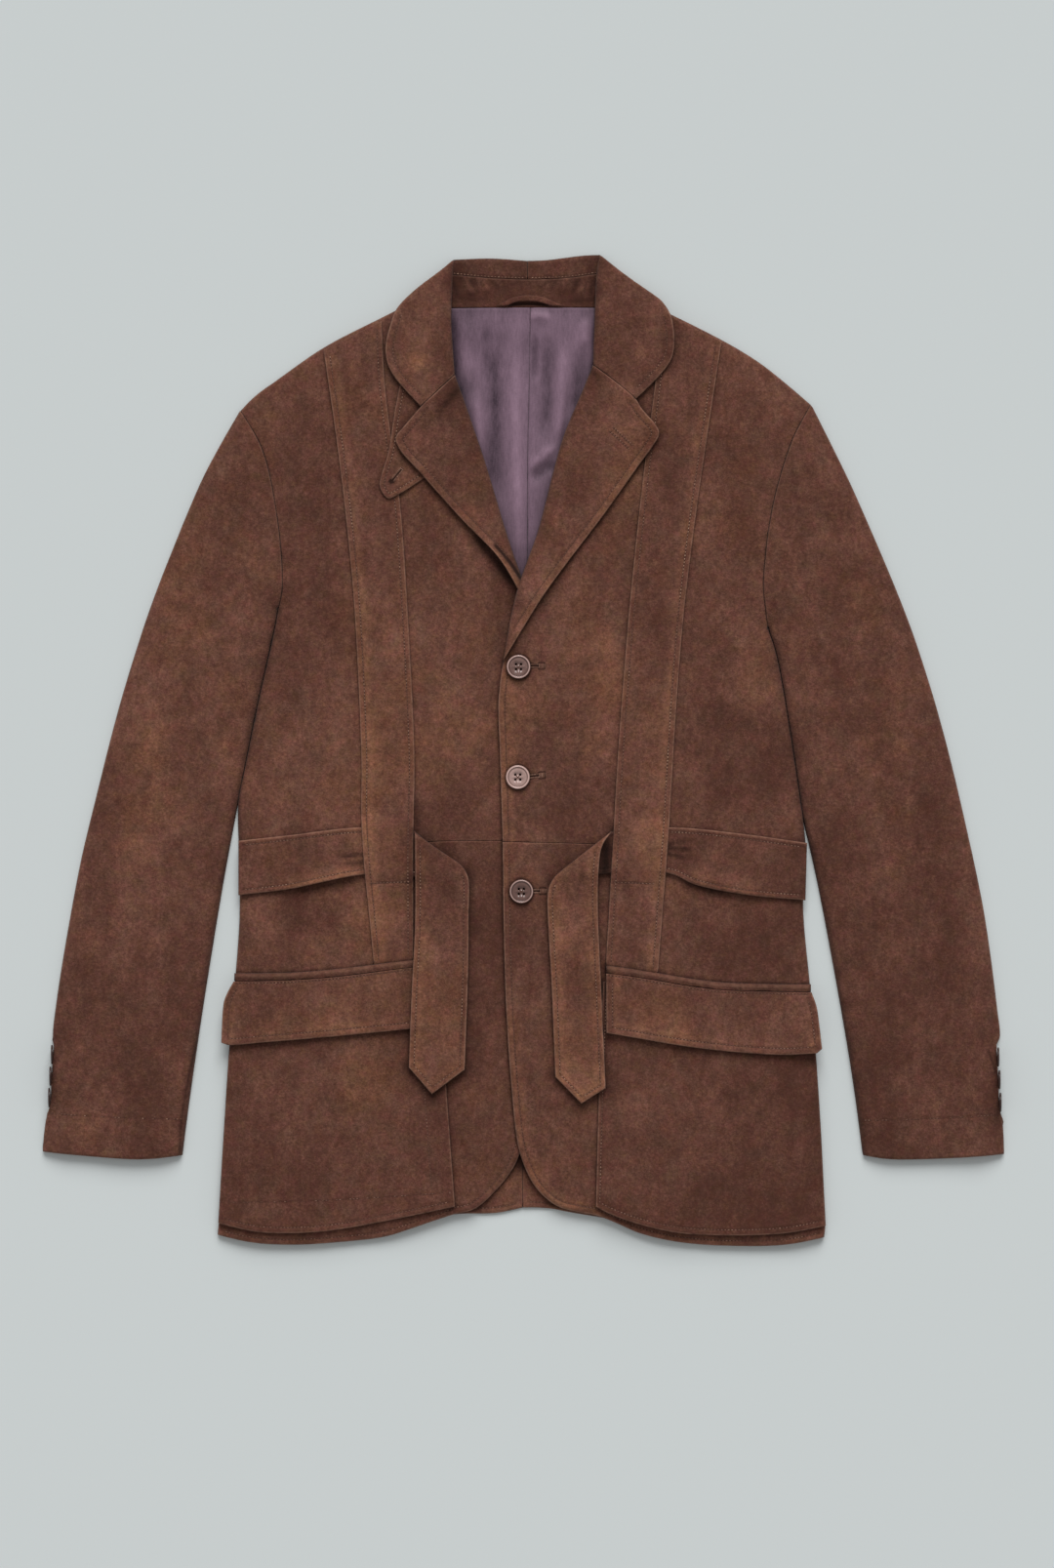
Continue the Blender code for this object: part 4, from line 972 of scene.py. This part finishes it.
def buttonhole_stitches(shell):
    """Close stitches along both lips of each buttonhole, a bar at its far end, and needle holes."""
    sets, pricks = [], []
    for start, end, bar in BUTTONHOLES.get(shell.piece.node, ()):
        slit = straight_run(start, end, LIP_PITCH)
        sets += [crossing_stitches(shell, slit, lip, LIP_LENGTH) for lip in (-LIP_PLACE, LIP_PLACE)]
        ahead = heading(slit)
        block = straight_run(slit[-1] + BAR_START * ahead, slit[-1] + (BAR_START + bar) * ahead, BAR_PITCH)
        sets.append(crossing_stitches(shell, block, 0.0, BAR_LENGTH))
    if shell.piece.node == "lapel_right":
        path = straight_run(*LAPEL_HOLE, HOLE_PITCH)
        for side in (-1, 1):
            sets.append(crossing_stitches(shell, path, side * HOLE_ROW, HOLE_LENGTH))
            pricks.append(crossing_stitches(shell, middles_of(path), side * HOLE_PRICKS, HOLE_LENGTH))
    return sets, pricks


def stitches_object(shells, material):
    """All the stitches and needle holes of the jacket, as one piece."""
    dice = np.random.default_rng(STITCH_SEED)
    threads, tones, pricks = [], [], []
    for shell in shells:
        sewn, paleness, pricked = seam_stitches(shell, dice)
        edged, holes = buttonhole_stitches(shell)
        threads += sewn + edged
        tones += paleness + [dice.random(len(part)) for part in edged]
        pricks += pricked + holes
    points = np.vstack(threads + pricks)
    # the needle holes get a tone of -1, which paints them dark: painted shade
    tone = np.full(len(points), -1.0)
    tone[:sum(map(len, threads))] = np.concatenate(tones)
    _, faces = stitch_form()
    count = points.shape[1]
    every = (faces[None] + np.arange(len(points))[:, None, None] * count).reshape(-1, 3)
    mesh = new_mesh("stitches", points.reshape(-1, 3), every.tolist())
    set_values(mesh, "tone", np.repeat(tone, count))
    return placed(mesh, material)


# Buttons

# A button's section from its back to its plate: share of the radius, share of the height, tone,
# which paints a highlight on the rim's crest and shade on its back and in its groove
RIM = ((0.80, 0.0, -0.9), (0.94, 0.12, -0.9), (1.0, 0.40, -0.8), (0.99, 0.66, -0.6), (0.965, 0.84, -0.1),
       (0.935, 0.95, 0.6), (0.90, 1.0, 1.2), (0.86, 0.99, 0.9), (0.82, 0.92, 0.2), (0.79, 0.80, -0.25),
       (0.765, 0.74, -0.3), (0.74, 0.74, 0.05), (0.69, 0.78, 0.25), (0.60, 0.76, 0.22))
PLATE_TONE = 0.25
FRONT_TONES = {"front_button_1": -0.1, "front_button_2": 0.38, "front_button_3": -0.3}
CUFF_SHADE = 1.1        # the cuff buttons are darker
CUFF_OUT = 0.8          # how far they stand off the sleeve
# The plate's holes and the strands over it, as shares of the radius
HOLE_PLACE = 0.20
HOLE_RADIUS = 0.105
HOLE_SLACK = 0.97       # share of a hole's radius within which a triangle is left out
STRAND_LENGTH = 2.6     # in places of a hole
STRAND_RADIUS = 0.28
STRAND_RISE = 0.15      # above the plate
FOOT_SHARE = 0.8        # of the radius, on which a button stands
FOOT_POINTS = 12
FOOT_GAP = 0.1


def button_form(radius, thick, sides=48, hole_sides=14):
    """A four-hole button standing on z = 0: a turned rim, a plate with its holes, and the tones that paint
    its highlight and its shade.
    """
    rings = [np.column_stack([circle(r * radius, sides), np.full(sides, z * thick)]) for r, z, _ in RIM]
    points = [row for ring in rings for row in ring]
    tone = [value for _, _, value in RIM for _ in range(sides)]
    faces = []
    for level in range(len(RIM) - 1):
        for i in range(sides):
            a, b = level * sides + i, level * sides + (i + 1) % sides
            faces.append((a, b, b + sides, a + sides))
    centres = np.array([(x, y) for x in (-1, 1) for y in (-1, 1)]) * HOLE_PLACE * radius
    holes = np.vstack([circle(HOLE_RADIUS * radius, hole_sides, centre) for centre in centres])
    first = {}
    for level, z in ((len(RIM) - 1, RIM[-1][1] * thick), (0, 0.0)):
        rim = [level * sides + i for i in range(sides)]
        first[level] = len(points)
        points += [np.array([x, y, z]) for x, y in holes]
        # the bottoms of the holes get the darkest tone: painted shade
        tone += [PLATE_TONE if level else -1.0] * len(holes)
        index = rim + list(range(first[level], len(points)))
        plan = np.array([points[i][:2] for i in index])
        for face in triangulated(plan, sides):
            middle = plan[list(face)].mean(0)
            if np.linalg.norm(centres - middle, axis=1).min() > HOLE_SLACK * HOLE_RADIUS * radius:
                corners = tuple(index[v] for v in face)
                faces.append(corners if level else corners[::-1])
    top, foot = first[len(RIM) - 1], first[0]
    for hole in range(len(centres)):
        for i in range(hole_sides):
            a, b = hole * hole_sides + i, hole * hole_sides + (i + 1) % hole_sides
            faces.append((top + a, top + b, foot + b, foot + a))
    return np.array(points), faces, tone


def thread_points(radius, height):
    """Two strands that cross over the button's plate, from hole to hole."""
    form, faces = stitch_form(sides=8)
    points, every = [], []
    for side in (-1, 1):
        strand = form * (STRAND_LENGTH * HOLE_PLACE * radius, STRAND_RADIUS, STRAND_RADIUS)
        x, y, z = strand.T * math.sqrt(0.5)
        every += (faces + len(points)).tolist()
        points += np.column_stack([x - side * y, side * x + y, z + height]).tolist()
    return np.array(points), every


def node_axes(name):
    """The middle of a button's node, its directions with the axis last, and its sizes along them."""
    points, _ = node_triangles(name)
    centre = (points.max(0) + points.min(0)) / 2
    _, _, axes = np.linalg.svd(points - points.mean(0), full_matrices=False)
    return centre, axes, np.ptp((points - centre) @ axes.T, axis=0)


# Materials

class Nodes:
    """A material's node tree, with short calls for the nodes that are used here."""

    def __init__(self, name):
        self.material = bpy.data.materials.new(name)
        self.material.use_nodes = True
        self.tree = self.material.node_tree
        self.shader = self.tree.nodes["Principled BSDF"]
        self.place = self.add("ShaderNodeTexCoord").outputs["Object"]

    def feed(self, node, values):
        """Gives a node's sockets their values, or links them to other nodes' outputs."""
        for name, value in values.items():
            if isinstance(value, bpy.types.NodeSocket):
                self.tree.links.new(value, node.inputs[name])
            else:
                node.inputs[name].default_value = value

    def add(self, kind, values=(), **settings):
        """A new node, with its settings and the values of its sockets."""
        node = self.tree.nodes.new(kind)
        for key, value in settings.items():
            setattr(node, key, value)
        self.feed(node, dict(values))
        return node

    def noise(self, scale, detail=3.0, roughness=0.55, lengthwise=1.0):
        """Noise at a scale, drawn out along the garment."""
        squeezed = {0: self.place, 1: (1.0, 1.0 / lengthwise, 1.0)}
        place = self.add("ShaderNodeVectorMath", squeezed, operation="MULTIPLY").outputs[0]
        values = {"Vector": place, "Scale": scale, "Detail": detail, "Roughness": roughness}
        return self.add("ShaderNodeTexNoise", values).outputs["Fac"]

    def math(self, operation, a, b):
        """What an operation makes of two values or outputs."""
        return self.add("ShaderNodeMath", {0: a, 1: b}, operation=operation).outputs[0]

    def blend(self, *parts):
        """The sum of values times their shares."""
        total = None
        for value, share in parts:
            part = self.math("MULTIPLY", value, share)
            total = part if total is None else self.math("ADD", total, part)
        return total

    def spread(self, value, low, high):
        """A value stretched so that low gives 0 and high gives 1."""
        values = {"Value": value, "From Min": low, "From Max": high}
        return self.add("ShaderNodeMapRange", values).outputs[0]

    def mix(self, share, a, b, blend="MIX"):
        """A share of colour b in colour a."""
        a, b = ((*colour, 1) if isinstance(colour, tuple) else colour for colour in (a, b))
        values = {0: share, 6: a, 7: b}
        return self.add("ShaderNodeMix", values, data_type="RGBA", blend_type=blend).outputs[2]

    def tint(self, share, colour, hue):
        """A share of the colour times a hue."""
        return self.mix(share, colour, self.mix(1.0, colour, hue, "MULTIPLY"))

    def attribute(self, name):
        """A number that the mesh holds at its points."""
        return self.add("ShaderNodeAttribute", attribute_name=name).outputs["Fac"]

    def bump(self, height, strength, reach):
        """Fine relief from a height."""
        values = {"Strength": strength, "Distance": reach, "Height": height}
        self.set(Normal=self.add("ShaderNodeBump", values).outputs["Normal"])

    def set(self, **values):
        """Values or outputs for the shader's own sockets."""
        self.feed(self.shader, {name.replace("_", " "): value for name, value in values.items()})


SUEDE_DARK = (0.0840, 0.0313, 0.0216)
SUEDE_LIGHT = (0.3620, 0.1632, 0.1145)
SUEDE_GOLD = (1.04, 1.03, 0.89)
SUEDE_OLIVE = (0.92, 1.02, 1.00)
SUEDE_ROSE = (1.06, 0.96, 1.00)
SUEDE_AMBER = (0.99, 1.01, 0.90)
SUEDE_WINE = (1.02, 0.940, 1.00)
SUEDE_WORN_AND_HIGHLIT = (0.34, 0.175, 0.118)
SUEDE_GROOVE_SHADE = (0.036, 0.0145, 0.0100)
SHADED = (0.10, 0.09, 0.09)


def suede():
    """Napped brown suede: blotches, mottling and grain; pale where it is rubbed and where a highlight is
    painted, with painted shade in its grooves and under what lies on it.
    """
    n = Nodes("suede")
    blotch, patch = n.noise(15, 2, 0.5, 1.7), n.noise(48, 2, 0.5, 1.3)
    mottle, fleck = n.noise(120, 2, 0.5, 1.5), n.noise(230, 1, 0.5, 1.5)
    nap, grain = n.noise(420, 2, 0.6), n.noise(1000, 2, 0.6)
    # the tone carries painted highlights and shade of creases and puckers
    tone_with_painted_light = n.attribute("tone")
    tone = n.blend((blotch, 0.8), (patch, 0.6), (mottle, 0.5), (fleck, 0.4), (nap, 0.95), (grain, 0.95),
                   (tone_with_painted_light, 0.35))
    colour = n.mix(n.math("POWER", n.spread(tone, 1.375, 2.825), 2.0), SUEDE_DARK, SUEDE_LIGHT)
    for hue, scale in ((SUEDE_OLIVE, 70), (SUEDE_ROSE, 95), (SUEDE_AMBER, 130), (SUEDE_AMBER, 330),
                       (SUEDE_WINE, 280)):
        colour = n.tint(n.spread(n.noise(scale, 2), 0.45, 0.7), colour, hue)
    golden = n.spread(n.blend((n.noise(30, 3), 1.0), (tone_with_painted_light, 0.4)), 0.48, 0.78)
    colour = n.tint(golden, colour, SUEDE_GOLD)
    wear = n.attribute("wear")
    # the pale rims: partly rubbed, partly painted highlights
    rubbed_and_highlit = n.math("MULTIPLY", wear, n.spread(n.noise(170, 3), 0.25, 0.75))
    colour = n.mix(n.spread(rubbed_and_highlit, 0.02, 0.95), colour, SUEDE_WORN_AND_HIGHLIT)
    # painted shade in grooves, slits and gaps
    colour = n.mix(n.spread(n.math("MULTIPLY", wear, -1.0), 0.0, 0.8), colour, SUEDE_GROOVE_SHADE)
    colour = n.tint(n.attribute("shade"), colour, SHADED)
    n.set(Base_Color=colour, Roughness=0.95, Specular_IOR_Level=0.08, Sheen_Weight=0.06, Sheen_Roughness=0.6)
    n.bump(n.blend((nap, 1.0), (mottle, 1.0), (grain, 0.5)), 0.5, 0.0008)
    return n.material


SATIN_DARK = (0.060, 0.036, 0.052)
SATIN_LIGHT = (0.390, 0.244, 0.326)


def satin():
    """Mauve lining satin with a fine weave, with painted shade in its folds and painted highlights on them.
    """
    n = Nodes("satin")
    weave = n.blend((n.noise(900, 2, 0.6, 6.0), 0.6), (n.noise(500, 2, 0.6, 0.3), 0.4))
    crumple = n.noise(170, 3, 0.55, 3.0)
    tone = n.blend((n.noise(45, 4), 0.4), (crumple, 0.45), (weave, 0.8), (n.attribute("tone"), 0.5))
    colour = n.mix(n.spread(tone, 0.22, 1.42), SATIN_DARK, SATIN_LIGHT)
    colour = n.tint(n.attribute("shade"), colour, SHADED)
    n.set(Base_Color=colour, Roughness=0.6, Specular_IOR_Level=0.2, Sheen_Weight=0.12, Sheen_Roughness=0.4)
    n.bump(n.blend((weave, 0.6), (crumple, 1.0)), 0.25, 0.0006)
    return n.material


THREAD_DARK = (0.150, 0.070, 0.047)
THREAD_LIGHT = (0.380, 0.212, 0.150)
THREAD_PALE = (0.520, 0.340, 0.225)
PRICK_SHADE = (0.056, 0.020, 0.014)
PRICK_SHADE_SOFT = (0.115, 0.048, 0.033)


def thread():
    """Brown sewing thread, a little paler than the suede and not the same in every stitch; its needle holes
    are dark with painted shade.
    """
    n = Nodes("thread")
    tone = n.attribute("tone")
    shown = n.spread(n.noise(26, 2), 0.36, 0.64)
    colour = n.mix(n.math("MULTIPLY", n.spread(tone, 0.0, 1.0), shown), THREAD_DARK, THREAD_LIGHT)
    colour = n.mix(n.math("MULTIPLY", n.spread(tone, 0.9, 1.7), shown), colour, THREAD_PALE)
    # painted shade of the needle holes
    colour = n.mix(n.math("MULTIPLY", tone, -1.0), colour, n.mix(shown, PRICK_SHADE_SOFT, PRICK_SHADE))
    n.set(Base_Color=colour, Roughness=0.7, Specular_IOR_Level=0.25)
    n.bump(n.noise(2500, 1), 0.3, 0.0002)
    return n.material


HORN_SHADE = (0.035, 0.014, 0.010)
HORN = (0.180, 0.094, 0.077)
HORN_PALE_AND_HIGHLIGHT = (0.720, 0.485, 0.430)


def horn():
    """Brown horn-like buttons, cloudy and glossy, with a painted highlight on the rim and painted shade in
    its groove and holes.
    """
    n = Nodes("horn")
    tone = n.blend((n.attribute("tone"), 1.0), (n.noise(190, 4, 0.6), 0.5), (n.noise(900, 1), 0.2))
    colour = n.mix(n.spread(tone, -0.6, 0.4), HORN_SHADE, HORN)
    colour = n.mix(n.spread(tone, 0.4, 1.4), colour, HORN_PALE_AND_HIGHLIGHT)
    n.set(Base_Color=colour, Roughness=0.28, Specular_IOR_Level=0.5, Coat_Weight=0.25, Coat_Roughness=0.12)
    n.bump(n.noise(900, 2), 0.06, 0.0003)
    return n.material


def table():
    """The pale surface that the jacket lies on."""
    n = Nodes("pale_table")
    n.set(Base_Color=(0.78, 0.83, 0.83, 1), Roughness=0.9, Specular_IOR_Level=0.1)
    return n.material


# Stage

def photo_point(x, y):
    """Where a pixel of the photo lies on the table, in millimetres."""
    return (x - ORIGIN_PIXEL[0]) * MM_PER_PIXEL, (ORIGIN_PIXEL[1] - y) * MM_PER_PIXEL


def add_camera():
    """A camera straight above the table, with the photo's frame."""
    camera = bpy.data.cameras.new("camera")
    camera.sensor_width = SENSOR
    camera.lens = SENSOR * CAMERA_HEIGHT / (PHOTO_SIZE[1] * MM_PER_PIXEL)
    thing = linked("camera", camera)
    x, y = photo_point(PHOTO_SIZE[0] / 2, PHOTO_SIZE[1] / 2)
    thing.location = (x * MM, y * MM, CAMERA_HEIGHT * MM)
    bpy.context.scene.camera = thing


def add_light(name, direction, spread, power):
    """An even, soft light from a direction, spread over an angle in degrees."""
    light = bpy.data.lights.new(name, "SUN")
    light.angle = math.radians(spread)
    light.energy = power
    thing = linked(name, light)
    thing.location = direction
    thing.rotation_euler = (-Vector(direction)).to_track_quat("-Z", "Y").to_euler()


def add_stage():
    """The table, an even white sky and one soft lamp."""
    mesh = bpy.data.meshes.new("table")
    corners = [(x * TABLE_HALF, y * TABLE_HALF, 0) for x, y in ((-1, -1), (1, -1), (1, 1), (-1, 1))]
    mesh.from_pydata(corners, [], [(0, 1, 2, 3)])
    placed(mesh, table())
    world = bpy.data.worlds.new("studio")
    world.use_nodes = True
    sky = world.node_tree.nodes["Background"].inputs
    sky["Color"].default_value = (1, 1, 1, 1)
    sky["Strength"].default_value = SKY_STRENGTH
    bpy.context.scene.world = world
    add_light("window", *WINDOW)
    bpy.context.scene.view_settings.view_transform = "Standard"


# Build

def fixed(piece, slot, *nodes):
    """Puts a piece on the jacket's one body and hides the nodes that it stands for; its slot is not used."""
    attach(piece, "root")
    if nodes:
        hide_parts(*nodes)


def lay_cloth(cloths):
    """Lays every piece, then makes the meshes with the shade of what lies on them."""
    shells = [Shell(row) for row in PIECES]
    for number, shell in enumerate(shells):
        for upper in shells[number + 1:]:
            shell.cover(upper)
    for shell in shells:
        row = shell.piece
        slot = "lining" if row.node in SATIN_NODES else "suede"
        cloth = shell_object(shell, cloths[slot])
        fixed(cloth, slot, row.node)
        flat_size(shell.outline)
    return {shell.piece.node: shell for shell in shells}


def sew_buttons(shells, button_material, thread_material):
    """Each button, and the strands that hold it."""
    for name in sorted(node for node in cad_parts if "button" in node):
        centre, axes, size = node_axes(name)
        radius, thick = size[0] / 2, size[2]
        points, faces, tone = button_form(radius, thick)
        strands, strand_faces = thread_points(radius, RIM[-1][1] * thick + STRAND_RISE)
        if name.startswith("front"):
            turn = np.eye(3)
            owner = shells[BUTTON_OWNERS[name]]
            spot = circle(FOOT_SHARE * radius, FOOT_POINTS, centre[:2])
            foot = np.array([*centre[:2], owner.heights(spot).top.max() + FOOT_GAP])
        else:
            outward = axes[2] * np.sign(axes[2][0] * centre[0])
            level = np.array([-outward[1], outward[0], 0]) / np.hypot(*outward[:2])
            turn = np.array([level, np.cross(outward, level), outward])
            foot = centre - outward * (thick / 2 - CUFF_OUT)
        mesh = new_mesh(name + "_horn", points @ turn + foot, faces)
        set_values(mesh, "tone", np.array(tone) + FRONT_TONES.get(name, -CUFF_SHADE))
        fixed(placed(mesh, button_material), "buttons", name)
        mesh = new_mesh(name + "_thread", strands @ turn + foot, strand_faces)
        fixed(placed(mesh, thread_material), "suede")


add_camera()
add_stage()
jacket = lay_cloth({"suede": suede(), "lining": satin()})
sewing_thread = thread()
fixed(stitches_object(jacket.values(), sewing_thread), "suede")
sew_buttons(jacket, horn(), sewing_thread)
